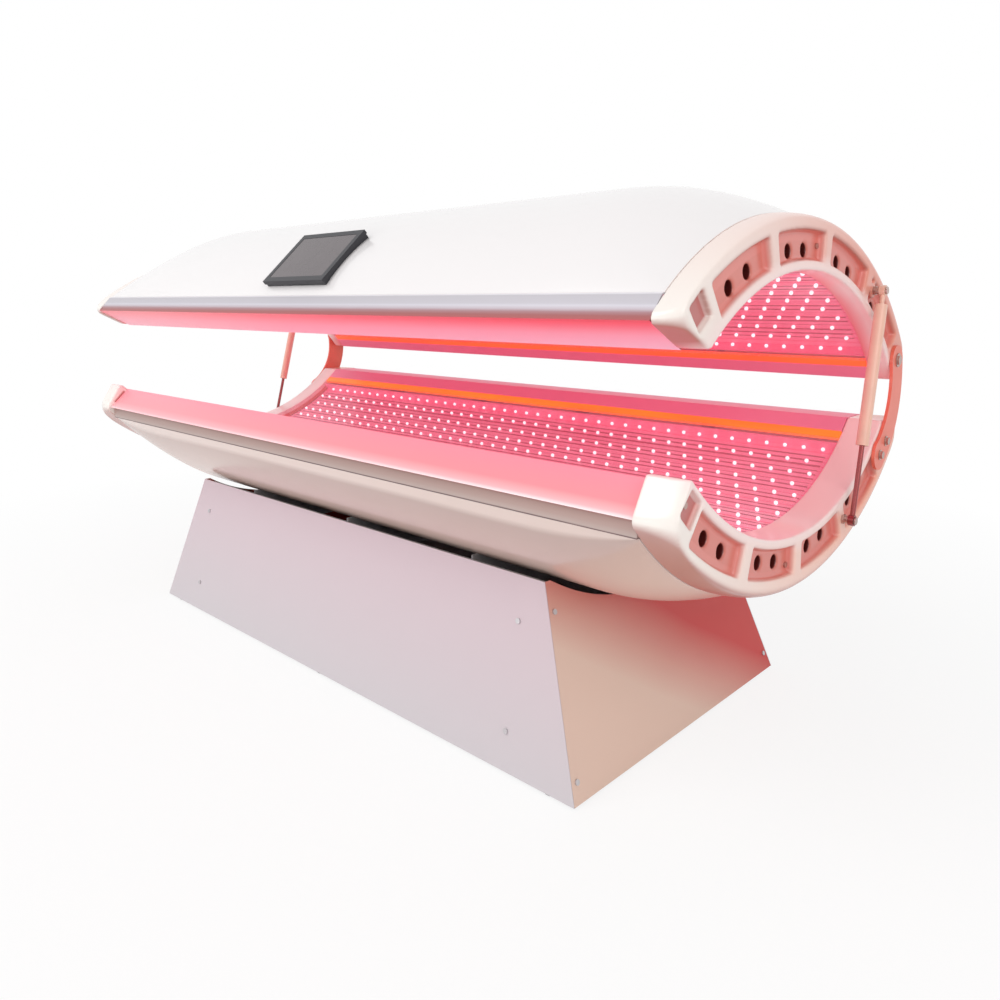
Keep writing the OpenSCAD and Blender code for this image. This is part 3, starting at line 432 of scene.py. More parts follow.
@dataclass(frozen=True)
class Finish:
    """What every finish has: a name and a way to paint."""

    name: str

    def build(self) -> Material:
        """Builds the finish.

        Returns:
            The material.
        """
        p = Paint(self.name)
        self.paint(p)
        return p.mat

    def paint(self, p: Paint) -> None:
        """Feeds a material's shader."""
        raise NotImplementedError


@dataclass(frozen=True)
class ShellGloss(Finish):
    """Glossy white moulded plastic of the curved shells, with painted shade
    where it faces the floor.

    Each colour stands at a height of the surface's direction, from up to down.
    """

    # Painted shade: the colours darken from up-facing to down-facing surfaces, darkest in a band near
    # -0.58.
    stops: Stops = ((0.75, (0.86, 0.84, 0.845)), (0.12, (0.86, 0.84, 0.845)),
                    (-0.12, (0.82, 0.67, 0.61)), (-0.55, (0.82, 0.67, 0.61)),
                    (-0.58, (0.56, 0.41, 0.365)), (-0.95, (0.88, 0.66, 0.57)))
    cloud: float = 0.04

    def paint(self, p: Paint) -> None:
        """Paints shade by the height of the surface's direction.

        Args:
            p: The material's nodes.
        """
        _, _, up = p.coordinates("Normal")
        # Painted shade by the surface's direction, with a faint random tone.
        p.set(Base_Color=p.gradient(up + p.noise(1.5, 1.0) * self.cloud, self.stops),
              Roughness=0.24 + p.noise(2.0, 1.0) * 0.03, Coat_Weight=0.5, Coat_Roughness=0.12)


@dataclass(frozen=True)
class CapPlastic(Finish):
    """Moulded plastic of an end cap, cream at the front, with painted red lamp light turning it salmon
    at the rear.

    Its pockets and its slot carry painted red light and painted shade, its vents painted shade, its
    down-facing sides painted shade, and the side towards the lamps painted pink lamp light. Pairs
    are where a colour starts and where it is full: y in metres, all else in millimetres from the
    face or an outline inwards or from the lit surface outwards.
    """

    half: Half
    # Painted red lamp light over the cream, stronger towards the rear.
    rear: Colour
    front: Colour = (0.93, 0.89, 0.84)
    # Painted red light and painted shade in the pockets and the slot.
    pocket: Colour = (0.74, 0.18, 0.145)
    slot: Colour = (0.52, 0.16, 0.15)
    # Painted pink lamp light on the side towards the lamps, redder near the lid's seam.
    lit: Colour = (0.99, 0.8, 0.78)
    near_lamps: Colour = (0.93, 0.12, 0.18)
    # Painted shade on down-facing sides.
    under: Colour = (0.44, 0.12, 0.09)
    # Painted shade down the vent holes, with painted red lamp light at their rims.
    vent: Colour = (0.1, 0.012, 0.01)
    vent_rim: Colour = (0.62, 0.16, 0.12)
    rear_y: Point2 = (-0.4, 0.3)
    pocket_y: Point2 = (-0.36, 0.2)
    lit_out: Point2 = (30.0, 1.0)
    glow_len: float = 30.0
    inside: Point2 = (11.0, 14.0)
    pocket_out: Point2 = (10.0, 14.0)
    slot_deep: Point2 = (0.5, 6.0)
    pocket_deep: Point2 = (1.0, 9.0)
    rim_deep: Point2 = (12.5, 14.0)
    vent_deep: Point2 = (14.5, 16.0)
    vent_reach: Point2 = (16.5, 13.5)

    def masks(self, y: Val, z: Val, out: Val, turn: Val) -> tuple[Val, Val]:
        """Where the pockets and the slot are, seen along the bed.

        Args:
            y: Place across.
            z: Height from the middle plane.
            out: Distance behind the lit surface.
            turn: Angle from straight down.

        Returns:
            1 in the row of pockets and 0 elsewhere, and the same for the slot.
        """
        s = SHAPES[self.half]
        starts, ends = self.inside
        front, rear = (arc_distance(y, z, r - s.face.drop).ramp(r - starts, r - ends, MM)
                       for r in (s.face.front_r, s.face.rear_r))
        side = y.ramp(-0.002, 0.002)
        first, last = s.first_pocket - s.pitch / 2, s.first_pocket + (s.pockets - 0.5) * s.pitch
        row = turn.band(math.radians(first), math.radians(last), math.radians(0.8))
        pockets = (front * (1.0 - side) + rear * side) * row * out.ramp(*self.pocket_out, MM)
        (at, mid), half_a, half_len = s.slot, s.slot_angle / 2, s.slot_len / 2
        slot = turn.band(math.radians(mid - half_a), math.radians(mid + half_a), 0.008)
        return pockets, slot * out.band((at - half_len) * MM, (at + half_len) * MM, 0.004)

    def paint(self, p: Paint) -> None:
        """Paints the skin with painted red and pink lamp light and painted shade underneath, then the
        painted light and shade of the slot, pockets and vents, which lie deeper.

        Args:
            p: The material's nodes.
        """
        x, _, _ = p.coordinates()
        _, _, up = p.coordinates("Normal")
        y, z = p.tunnel(self.half)
        out, end = arc_distance(y, z, TUNNEL.lit_c) - TUNNEL.lit_r * MM, abs(x)
        turn = y.math("ARCTAN2", TUNNEL.lit_c * MM - z)
        # Painted red lamp light, growing towards the rear.
        c = p.blend(y.ramp(*self.rear_y) + p.noise(5.0) * 0.06, self.front, self.rear)
        # Painted shade on down-facing sides.
        c = p.blend(up.ramp(0.0, -0.8) * 0.9, c, self.under)
        # Painted lamp light on the side towards the lamps, redder near the lid's seam.
        seam, lit = SHAPES[self.half].seam_x, self.lit
        if self.half is Half.LID:
            lit = p.blend(end.ramp(seam + self.glow_len, seam, MM) * 0.8, self.lit, self.near_lamps)
        c = p.blend(out.ramp(*self.lit_out, MM) * 0.92, c, lit)
        pockets, slot = self.masks(y, z, out, turn)
        vents = pockets * abs(out - SHAPES[self.half].vent_out * MM).ramp(*self.vent_reach, MM)
        # Painted red light and shade in the slot and pockets, and painted shade down the vent holes,
        # deeper behind the face.
        for (starts, full), mask, colour in (
                (self.slot_deep, slot, self.slot),
                (self.pocket_deep, pockets * (0.88 + y.ramp(*self.pocket_y) * 0.12), self.pocket),
                (self.rim_deep, vents, self.vent_rim), (self.vent_deep, vents, self.vent)):
            c = p.blend(end.ramp(TUNNEL.face_x - starts, TUNNEL.face_x - full, MM) * mask, c, colour)
        p.set(Base_Color=c, Roughness=0.28 + p.noise(12.0) * 0.07, Coat_Weight=0.45, Coat_Roughness=0.14)


@dataclass(frozen=True)
class RailMetal(Finish):
    """Satin aluminium of a front rail, with painted highlights and shadow lines across its face
    and painted pink lamp light and a faint painted glow on its ledge.

    The stops give drops from the middle plane in millimetres with the colours there.
    """

    half: Half
    face: Stops
    ledge: Stops
    far_ledge: Colour = (0.98, 0.42, 0.46)
    far_x: Point2 = (0.75, -0.5)
    ledge_turn: Point2 = (0.3, 0.45)
    # Painted glow on the ledge, which is no lamp.
    glow: Colour = (0.95, 0.22, 0.3)
    glow_strength: float = 0.1
    brush_depth: float = 0.0015

    def paint(self, p: Paint) -> None:
        """Paints painted highlights and shade on the face and painted lamp light on the ledge,
        by the drop from the middle plane.

        Args:
            p: The material's nodes.
        """
        x, _, _ = p.coordinates()
        _, _, up = p.coordinates("Normal")
        drop = p.tunnel(self.half)[1] * -1.0
        on_ledge = (up * float(-self.half.value)).ramp(*self.ledge_turn)
        brushed = p.noise(900.0, 2.0, (0.02, 1.0, 1.0))
        # Painted highlights and shadow lines across the face, by drop.
        metal = p.gradient(drop + brushed * self.brush_depth, self.face, MM)
        # Painted pink lamp light on the ledge, changing along the bed.
        lit = p.blend(x.ramp(*self.far_x) * 0.45, p.gradient(drop, self.ledge, MM), self.far_ledge)
        # Painted glow on the ledge, which is no lamp.
        p.set(Base_Color=p.blend(on_ledge, metal, lit), Metallic=(1.0 - on_ledge) * 0.25,
              Roughness=0.3 + brushed * 0.1,
              Emission_Color=p.blend(on_ledge, BLACK, self.glow), Emission_Strength=self.glow_strength)


@dataclass(frozen=True)
class LitBand(Finish):
    """A pale surface with painted red lamp light and a faint painted glow."""

    colour: Colour = (0.8, 0.3, 0.4)
    deep: Colour = (0.8, 0.16, 0.34)
    glow: Colour = (0.9, 0.1, 0.26)

    def paint(self, p: Paint) -> None:
        """Paints painted red light with faint clouds and a faint painted glow."""
        p.set(Base_Color=p.blend(p.noise(6.0, 3.0) * 0.3, self.colour, self.deep), Roughness=0.42,
              Emission_Color=self.glow, Emission_Strength=0.12)


@dataclass(frozen=True)
class LampStrip(Finish):
    """The orange lamp strip along a rear edge."""

    bright: Colour
    deep: Colour

    def paint(self, p: Paint) -> None:
        """Paints with clouds drawn out along the strip."""
        c = p.blend(p.noise(14.0, 3.0, (0.3, 1.0, 1.0)), self.bright, self.deep)
        p.set(Base_Color=c, Roughness=0.4, Emission_Color=c, Emission_Strength=0.8)


@dataclass(frozen=True)
class LampBed(Finish):
    """The lit red field behind a clear sheet: deeper at the rear, paler in front, lined lengthwise.

    The front turn is where the paler colour starts and is full, in radians from straight down.
    """

    half: Half
    rear: Colour = (0.8, 0.11, 0.23)
    front: Colour = (0.88, 0.5, 0.62)
    line: Colour = (0.26, 0.008, 0.03)
    front_turn: Point2 = (0.62, -0.45)
    cloud: float = 0.35
    line_pitch: float = 13.0 * MM

    def paint(self, p: Paint) -> None:
        """Paints by the angle round the lit arc.

        Args:
            p: The material's nodes.
        """
        y, z = p.tunnel(self.half)
        turn = y.math("ARCTAN2", TUNNEL.lit_c * MM - z)
        way = turn.ramp(*self.front_turn) * 0.9 + p.noise(7.0, 3.0) * self.cloud
        lines = (turn * (math.tau * TUNNEL.lit_r * MM / self.line_pitch)).math("SINE").ramp(0.3, 0.9)
        worn = 0.45 + p.noise(700.0, 2.0, (0.012, 1.0, 1.0)) * 0.8
        c = p.blend(lines * worn, p.blend(way, self.rear, self.front), self.line)
        p.set(Base_Color=c, Roughness=0.5, Emission_Color=c, Emission_Strength=0.36)


@dataclass(frozen=True)
class PlainFinish(Finish):
    """A finish that is the same all over but for a little unevenness."""

    colour: Colour
    roughness: float
    metallic: float = 0.0
    coat: float = 0.0
    unevenness: float = 0.06
    darkening: float = 2.5
    grain: float = 30.0
    bump: float = 0.0
    glow: Colour = BLACK
    glow_strength: float = 0.0
    alpha: float = 1.0

    def paint(self, p: Paint) -> None:
        """Paints with a faint grain.

        Args:
            p: The material's nodes.
        """
        grain = p.noise(self.grain, 3.0)
        dark = tuple(c * (1.0 - self.darkening * self.unevenness) for c in self.colour)
        p.set(Base_Color=p.blend(grain, self.colour, dark), Metallic=self.metallic, Alpha=self.alpha,
              Roughness=self.roughness + grain * self.unevenness, Coat_Weight=self.coat)
        if self.glow_strength:
            p.set(Emission_Color=self.glow, Emission_Strength=self.glow_strength)
        if self.bump:
            p.bump(grain, self.bump, 0.4)


@dataclass(frozen=True)
class PanelPaint(Finish):
    """Satin paint of the base panels, with painted light and shade towards the top: painted shade from
    the shell, tinted pink, on the front and rear panels, and painted red lamp light on the end panels.

    On an end panel the painted light also grows towards the rear, across times as much over the
    panel's depth as over its height. Lengths are in metres.
    """

    colour: Colour
    wash: Colour
    across: float = 0.0
    start: float = 0.0
    full: float = 1.0
    height: float = 0.34
    front_y: float = -0.32
    depth: float = 0.66
    cloud: float = 0.1

    def paint(self, p: Paint) -> None:
        """Paints the painted light and shade by the height and the place across.

        Args:
            p: The material's nodes.
        """
        _, y, z = p.coordinates()
        # Painted light and shade, growing towards the top, and on an end panel towards the rear.
        way = z * (1.0 / self.height) + (y - self.front_y) * (self.across / self.depth)
        way = (way + (p.noise(2.5) - 0.5) * self.cloud).ramp(self.start, self.full)
        p.set(Base_Color=p.blend(way, self.colour, self.wash),
              Roughness=0.42 + p.noise(20.0) * 0.05, Coat_Weight=0.15)
        p.bump(p.noise(500.0, 1.0), 0.00005, 0.2)


# Mesh helpers

def add_object(name: str, data: Any) -> Object:
    """Makes an object and links it to the scene.

    Args:
        name: Its name.
        data: Its mesh, lamp or camera.

    Returns:
        The object.
    """
    ob = bpy.data.objects.new(name, data)
    bpy.context.scene.collection.objects.link(ob)
    return ob


def mesh_object(name: str, verts: Sequence[Point3], faces: Sequence[Sequence[int]]) -> Object:
    """Makes a closed mesh object with its faces outwards.

    Args:
        name: The piece's name.
        verts: Points in metres.
        faces: Rings of point numbers.

    Returns:
        The object, linked to the scene and shaded flat.
    """
    me = bpy.data.meshes.new(name)
    me.from_pydata(verts, [], faces)
    bm = bmesh.new()
    bm.from_mesh(me)
    bmesh.ops.remove_doubles(bm, verts=bm.verts, dist=1e-6)
    bmesh.ops.recalc_face_normals(bm, faces=bm.faces)
    bm.to_mesh(me)
    bm.free()
    return add_object(name, me)


def loft(name: str, half: Half, loops: Sequence[tuple[float, Sequence[Point2]]]) -> Object:
    """Makes a closed solid through outlines along the bed.

    Args:
        name: The piece's name.
        half: The half in whose tunnel frame the outlines are.
        loops: Places along the bed with their outlines, which have as many points each.

    Returns:
        The solid.
    """
    m, rows = len(loops[0][1]), len(loops)
    verts = [TUNNEL.place(half, x, y, z) for x, loop in loops for y, z in loop]
    faces = [list(range(m)), list(range((rows - 1) * m, rows * m))]
    for a in range(0, (rows - 1) * m, m):
        faces += [[a + j, a + (j + 1) % m, a + m + (j + 1) % m, a + m + j] for j in range(m)]
    return mesh_object(name, verts, faces)


def shade(ob: Object, angle: float) -> None:
    """Shades smooth but for edges sharper than an angle in degrees."""
    ob.data.polygons.foreach_set("use_smooth", [True] * len(ob.data.polygons))
    ob.data.set_sharp_from_angle(angle=math.radians(angle))


def dress(ob: Object, body: str, material: Material,
          stands_for: Sequence[str] = ()) -> Object:
    """Gives a piece its material, body and the CAD nodes it stands for.

    Args:
        ob: The piece.
        body: The body it rides on.
        material: Its finish.
        stands_for: CAD nodes that it replaces.

    Returns:
        The piece.
    """
    ob.data.materials.clear()
    ob.data.materials.append(material)
    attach(ob, body)
    if stands_for:
        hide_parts(*stands_for)
    log.info("piece %s on %s, %d faces", ob.name, body, len(ob.data.polygons))
    return ob


def cad(node: str, material: Material) -> None:
    """Gives a CAD node its finish.

    Args:
        node: The node's name.
        material: The finish.
    """
    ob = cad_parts[node]
    ob.data.materials.clear()
    ob.data.materials.append(material)
    log.info("node %s in %s", node, material.name)


def modify(ob: Object, kind: str, **settings: Any) -> None:
    """Adds a modifier.

    Args:
        ob: The piece.
        kind: The modifier's type.
        settings: Its properties.
    """
    mod = ob.modifiers.new(kind.lower(), kind)
    for key, value in settings.items():
        setattr(mod, key, value)


def apply_modifiers(ob: Object) -> None:
    """Turns a piece's modifiers into plain mesh.

    Args:
        ob: The piece.
    """
    dg = bpy.context.evaluated_depsgraph_get()
    me = bpy.data.meshes.new_from_object(
        ob.evaluated_get(dg), preserve_all_data_layers=True, depsgraph=dg)
    ob.modifiers.clear()
    ob.data = me
    me.name = ob.name


@dataclass
class CurvedShell:
    """The outer shell of one half: straight in the middle and rounded down to the caps.

    Lengths are in millimetres. The turn steps run along the nose, front arc, rear arc and rear tip.
    """

    half: Half
    material: Material
    wall: float = 4.0
    skin: float = 0.05
    edge_gap: float = 0.15
    rail_wall: float = 3.0
    tip_r: float = 20.0
    round_steps: int = 34
    mid_steps: int = 20
    turn_steps: tuple[int, ...] = (12, 38, 30, 30)
    smooth_deg: float = 35.0

    def chain(self, inset: float, t: float) -> list[Point2]:
        """The shell's section.

        Args:
            inset: Depth below the outer surface.
            t: Share of the rounding, 0 in the middle and 1 at the cap.

        Returns:
            Points from the front edge to the rear edge, y and z in the tunnel frame.
        """
        s = SHAPES[self.half]
        edge, rear = s.shell + self.edge_gap, s.rear + self.rail_wall + self.edge_gap
        r, c = TUNNEL.shell_r - inset, TUNNEL.shell_c
        drop, end_r, tip = s.seam.drop - inset, s.seam.front_r - inset, self.tip_r - inset
        a0, a1 = math.acos((c + edge) / r), math.acos((c + rear) / r)
        front = math.acos((end_r - tip * math.cos(a0) - drop + edge) / (end_r - tip))
        back = math.radians(s.rear_turn)
        rear_tip = (drop - rear - end_r * (1 - math.cos(back))) / (math.cos(back) - math.cos(a1))
        out = []
        for a in run_through((-a0, -front, 0.0, back, a1), self.turn_steps):
            y, z = turn_point(a, drop, end_r, front if a < 0 else back, tip if a < 0 else rear_tip)
            out.append((mix(r * math.sin(a), y, t), mix(c - r * math.cos(a), z, t)))
        return out

    def build(self) -> Object:
        """Builds and dresses the shell.

        Returns:
            The shell.
        """
        s = SHAPES[self.half]
        flat, end = s.seam_x - s.round_len, s.seam_x - self.edge_gap
        rounding = run_through((flat, end), (self.round_steps,))
        xs = [-x for x in reversed(rounding)] + steps(-flat, flat, self.mid_steps)[1:] + rounding
        shares = [(max(0.0, abs(x) - flat) / s.round_len) ** 2 for x in xs]
        sides = [[self.chain(inset, t) for t in shares] for inset in (self.skin, self.wall)]
        verts = [TUNNEL.place(self.half, x, y, z)
                 for side in sides for x, row in zip(xs, side) for y, z in row]
        rows, cols = len(xs), len(sides[0][0])
        n = rows * cols
        faces = [[a, a + 1, a + cols + 1, a + cols]
                 for i in range(rows - 1) for a in range(i * cols, (i + 1) * cols - 1)]
        faces += [[v + n for v in reversed(ring)] for ring in faces]
        edges = [(i * cols + j, (i + 1) * cols + j) for i in range(rows - 1) for j in (0, cols - 1)]
        edges += [(i * cols + j, i * cols + j + 1) for j in range(cols - 1) for i in (0, rows - 1)]
        faces += [[a, b, b + n, a + n] for a, b in edges]
        ob = mesh_object(f"{self.half.word}_shell_skin", verts, faces)
        shade(ob, self.smooth_deg)
        return dress(ob, self.half.body, self.material, [f"{self.half.word}_shell"])


@dataclass
class EndCap:
    """The moulded end caps of one half, with vented pockets, softened by a remesh.

    Lengths are in millimetres. The turn steps run from the ledge to the rear corner, and the
    stations are shares of a cap's depth.
    """

    half: Half
    material: Material
    bush: Optional[Point2] = None
    bush_r: float = 12.6
    bush_depth: float = 30.0
    pocket_depth: float = 13.0
    pocket_slope: float = 4.0
    pocket_flare: float = 1.5
    pocket_wall: float = 2.8
    rim: float = 15.0
    slot_depth: float = 10.0
    vent_r: float = 11.5
    vent_pitch: float = 6.0
    vent_depth: float = 22.0
    vent_over: float = 4.0
    over_face: float = 5.0
    boss_r: float = 15.0
    boss_root: float = 3.0
    voxel: float = 2.5
    smooth_factor: float = 0.5
    smooth_steps: int = 7
    arc_steps: int = 110
    pocket_steps: int = 14
    turn_steps: tuple[int, ...] = (20, 10, 30, 30, 6, 12)
    stations: tuple[float, ...] = (0.0, 0.15, 0.3, 0.45, 0.58, 0.69, 0.78,
                                   0.85, 0.905, 0.945, 0.972, 0.99, 1.0)

    def outline(self, u: float) -> list[Point2]:
        """The cap's whole outline at one depth.

        Args:
            u: Share of the cap's depth, 0 at the seam and 1 at the face.

        Returns:
            Points in the tunnel frame.
        """
        s = SHAPES[self.half]
        ledge = math.radians(s.ledge)
        lines = (s.seam, s.face)
        noses = [line.nose_turn(ledge, s.tip) for line in lines]
        corners = [line.corner_turn() for line in lines]
        bends = (-ledge, -max(noses), -min(noses), 0.0, min(corners), max(corners), math.pi / 2)
        turns = run_through(bends, self.turn_steps)
        chains = []
        for line, nose, corner in zip(lines, noses, corners):
            front, rear = (line.front_r, nose, line.nose_r), (line.rear_r, corner, line.corner_r)
            arcs = [turn_point(a, line.drop, *(front if a < 0 else rear)) for a in turns]
            chains.append([line.tip(s.tip), *arcs, (line.rear_w, -s.rear)])
        k = 1.0 - math.sqrt(max(0.0, 1.0 - u * u))
        outer = [(mix(y0, y1, k), mix(z0, z1, k)) for (y0, z0), (y1, z1) in zip(*chains)]
        a0, a1 = -math.degrees(TUNNEL.lit_angle(s.tip)), math.degrees(TUNNEL.lit_angle(s.rear))
        return outer + [TUNNEL.on_lit(0.0, a) for a in run_through((a1, a0), (self.arc_steps,))]

    def pocket(self, a0: float, a1: float, inset: float) -> list[Point2]:
        """Outline of a pocket, drawn in all round.

        Args:
            a0: Angle of its first side.
            a1: Angle of its last side.
            inset: How far it is drawn in, negative to draw it out.

        Returns:
            Points in the tunnel frame.
        """
        line = SHAPES[self.half].face
        r = line.front_r if a0 + a1 < 0 else line.rear_r
        turn = math.degrees(inset / TUNNEL.lit_r)
        angles = run_through((a0 + turn, a1 - turn), (self.pocket_steps,))
        r1, gap = r - self.rim - inset, TUNNEL.lit_c - (r - line.drop)
        outer = []
        for a in reversed(angles):
            d = gap * math.cos(math.radians(a))
            outer.append(TUNNEL.on_lit(d + math.sqrt(d * d + r1 * r1 - gap * gap) - TUNNEL.lit_r, a))
        return [TUNNEL.on_lit(self.rim + inset, a) for a in angles] + outer

    def rod(self, centre: Point2, r: float, x0: float, x1: float, count: int = 36) -> Object:
        """A scratch round bar along the bed.

        Args:
            centre: Its axis in the tunnel frame.
            r: Its radius.
            x0: Its start along the bed.
            x1: Its end.
            count: Its number of sides.

        Returns:
            The bar.
        """
        turns = steps(0.0, math.tau, count)
        ring = [(centre[0] + r * math.cos(a), centre[1] + r * math.sin(a)) for a in turns]
        return loft("rod", self.half, [(x0, ring), (x1, ring)])

    def cutters(self) -> list[Object]:
        """Everything that is cut from the cap.

        Returns:
            Scratch solids.
        """
        s, face, out = SHAPES[self.half], TUNNEL.face_x, []
        top, floor = face + self.over_face, face - self.pocket_depth
        half_a = (s.pitch - self.pocket_wall) / 2
        mids = [s.first_pocket + i * s.pitch for i in range(s.pockets)]
        for mid in mids:
            out.append(loft("pocket", self.half, [
                (x, self.pocket(mid - half_a, mid + half_a, inset))
                for x, inset in ((floor, self.pocket_slope), (top, -self.pocket_flare))]))
        at, mid = s.slot
        edges = [mid - s.slot_angle / 2, mid + s.slot_angle / 2]
        ring = [TUNNEL.on_lit(at - s.slot_len / 2, a) for a in edges]
        ring += [TUNNEL.on_lit(at + s.slot_len / 2, a) for a in reversed(edges)]
        out.append(loft("slot", self.half, [(face - self.slot_depth, ring), (top, ring)]))
        for mid in mids:
            for side in (-1, 1):
                at = TUNNEL.on_lit(s.vent_out, mid + side * self.vent_pitch / 2)
                if math.dist(at, s.boss) > self.boss_r + self.vent_r:
                    out.append(self.rod(at, self.vent_r, floor - self.vent_depth, floor + self.vent_over))
        if self.bush:
            out.append(self.rod(self.bush, self.bush_r, face - self.bush_depth, top))
        return out

    def blank(self) -> Object:
        """The right-hand cap before anything is cut from it.

        Returns:
            The solid.
        """
        seam = SHAPES[self.half].seam_x
        loops = [(mix(seam, TUNNEL.face_x, u), self.outline(u)) for u in self.stations]
        return loft(f"{self.half.word}_cap_right", self.half, loops)

    def mirror(self, ob: Object) -> Object:
        """Mirrors the right-hand cap.

        Args:
            ob: The right-hand cap.

        Returns:
            The left-hand cap.
        """
        left = add_object(f"{self.half.word}_cap_left", ob.data.copy())
        for v in left.data.vertices:
            v.co.x = -v.co.x
        left.data.flip_normals()
        return left

    def build(self) -> list[Object]:
        """Builds the right-hand cap, mirrors it and dresses both.

        Returns:
            The right-hand and the left-hand cap.
        """
        ob, cuts = self.blank(), self.cutters()
        for cut in cuts:
            modify(ob, "BOOLEAN", operation="DIFFERENCE", object=cut, solver="EXACT")
        apply_modifiers(ob)
        root = TUNNEL.face_x - self.pocket_depth - self.boss_root
        boss = self.rod(SHAPES[self.half].boss, self.boss_r, root, TUNNEL.face_x)
        modify(ob, "BOOLEAN", operation="UNION", object=boss, solver="EXACT")
        modify(ob, "REMESH", mode="VOXEL", voxel_size=self.voxel * MM)
        modify(ob, "SMOOTH", factor=self.smooth_factor, iterations=self.smooth_steps)
        apply_modifiers(ob)
        for scratch in cuts + [boss]:
            bpy.data.objects.remove(scratch)
        shade(ob, 180.0)
        return [dress(cap, self.half.body, self.material, [f"{self.half.word}_{side}_cap"])
                for cap, side in ((ob, "right"), (self.mirror(ob), "left"))]


# Geometry Nodes

class Geo(Nodes):
    """A geometry node group under construction."""

    def __init__(self, name: str, inputs: dict[str, Any]) -> None:
        """Starts a group.

        Args:
            name: The group's name.
            inputs: Names of the inputs with their values: whole numbers, numbers or materials.
        """
        super().__init__(bpy.data.node_groups.new(name, "GeometryNodeTree"))
        for way in ("INPUT", "OUTPUT"):
            self.tree.interface.new_socket("Geometry", in_out=way, socket_type="NodeSocketGeometry")
        self.given: dict[str, Any] = {}
        for key, value in inputs.items():
            kind = {int: "Int", float: "Float"}.get(type(value), "Material")
            s = self.tree.interface.new_socket(key, in_out="INPUT", socket_type="NodeSocket" + kind)
            if kind != "Material":
                s.default_value = value
            self.given[s.identifier] = value
        self.source = self.node("NodeGroupInput")
        self.sink = self.node("NodeGroupOutput")

    def named(self, *keys: str) -> list[Val]:
        """Named inputs of the group."""
        return [Val(self.tree, self.source.outputs[key]) for key in keys]

    def run(self, name: str, last: Node) -> Object:
        """Ends the group, runs it on an empty mesh and returns the plain mesh object.

        Args:
            name: The piece's name.
            last: The node whose first output is the geometry.

        Returns:
            The piece, with no modifier left.
        """
        real = self.node("GeometryNodeRealizeInstances", inputs={0: last})
        self.feed(self.sink.inputs[0], self.node("GeometryNodeSetMaterial", inputs={
            0: real, "Material": self.source.outputs["Material"]}))
        ob = add_object(name, bpy.data.meshes.new(name))
        mod = ob.modifiers.new("make", "NODES")
        mod.node_group = self.tree
        for identifier, value in self.given.items():
            mod[identifier] = value
        apply_modifiers(ob)
        return ob


@dataclass
class LampField:
    """Rows of small lamps on the light boards of one half, every other row shifted by half a pitch.

    Lengths are in millimetres and angles in degrees from straight down.
    """

    half: Half
    material: Material
    rows: int
    first_deg: float
    pitch_deg: float
    lamp_pitch: float = 40.0
    lamp_r: float = 4.2
    stand_r: float = 18.0
    margin: float = 6.0
    segments: int = 8
    rings: int = 6
    smooth_deg: float = 60.0

    def inputs(self) -> dict[str, Any]:
        """The node group's inputs.

        Returns:
            Values by name.
        """
        return {
            "Rows": self.rows,
            "Lamps": int(2 * (SHAPES[self.half].seam_x - self.margin) / self.lamp_pitch),
            "Lamp pitch": self.lamp_pitch * MM,
            "Lamp radius": self.lamp_r * MM,
            "Arc radius": (TUNNEL.lit_r + self.stand_r) * MM,
            "First angle": math.radians(self.first_deg),
            "Angle pitch": math.radians(self.pitch_deg),
            "Side": float(-self.half.value),
            "Axis y": -TUNNEL.forward * MM,
            "Axis z": (TUNNEL.mid_z - self.half.value * TUNNEL.lit_c) * MM,
            "Material": self.material,
        }

    def build(self) -> Object:
        """Builds and dresses the lamps.

        Returns:
            The lamps, one piece.
        """
        g = Geo(f"lamps_{self.half.word}", self.inputs())
        rows, lamps, pitch, radius = g.named("Rows", "Lamps", "Lamp pitch", "Lamp radius")
        arc, first, turn_by, side = g.named("Arc radius", "First angle", "Angle pitch", "Side")
        axis_y, axis_z = g.named("Axis y", "Axis z")
        points = g.node("GeometryNodePoints", inputs={"Count": rows * lamps})
        index, = g.values("GeometryNodeInputIndex", 0)
        row = index.math("DIVIDE", lamps).math("FLOOR")
        stagger, angle = row.math("MODULO", 2.0) * 0.5, first + row * turn_by
        place = g.node("ShaderNodeCombineXYZ", inputs={
            0: (index - row * lamps + stagger - (lamps - 0.5) * 0.5) * pitch,
            1: arc * angle.math("SINE") + axis_y,
            2: axis_z - arc * angle.math("COSINE") * side})
        placed = g.node("GeometryNodeSetPosition", inputs={"Geometry": points, "Position": place})
        turn = g.node("ShaderNodeCombineXYZ", inputs={0: angle * side})
        dome = g.node("GeometryNodeMeshUVSphere",
                      inputs={"Segments": self.segments, "Rings": self.rings, "Radius": radius})
        turned = g.node("FunctionNodeEulerToRotation", inputs={0: turn})
        ob = g.run(f"{self.half.word}_lamps", g.node("GeometryNodeInstanceOnPoints", inputs={
            "Points": placed, "Instance": dome, "Rotation": turned}))
        shade(ob, self.smooth_deg)
        return dress(ob, self.half.body, self.material)


@dataclass(frozen=True)
class AreaLamp:
    """A square studio lamp, its lengths in metres and its power in watts."""

    name: str
    place: Point3
    aim: Point3
    size: float
    power: float
    colour: Colour = WHITE

    def build(self) -> None:
        """Adds the lamp."""
        light = bpy.data.lights.new(self.name, "AREA")
        light.shape, light.size, light.energy, light.color = "SQUARE", self.size, self.power, self.colour
        ob = add_object(self.name, light)
        ob.location = self.place
        ob.rotation_euler = (Vector(self.aim) - Vector(self.place)).to_track_quat("-Z", "Y").to_euler()


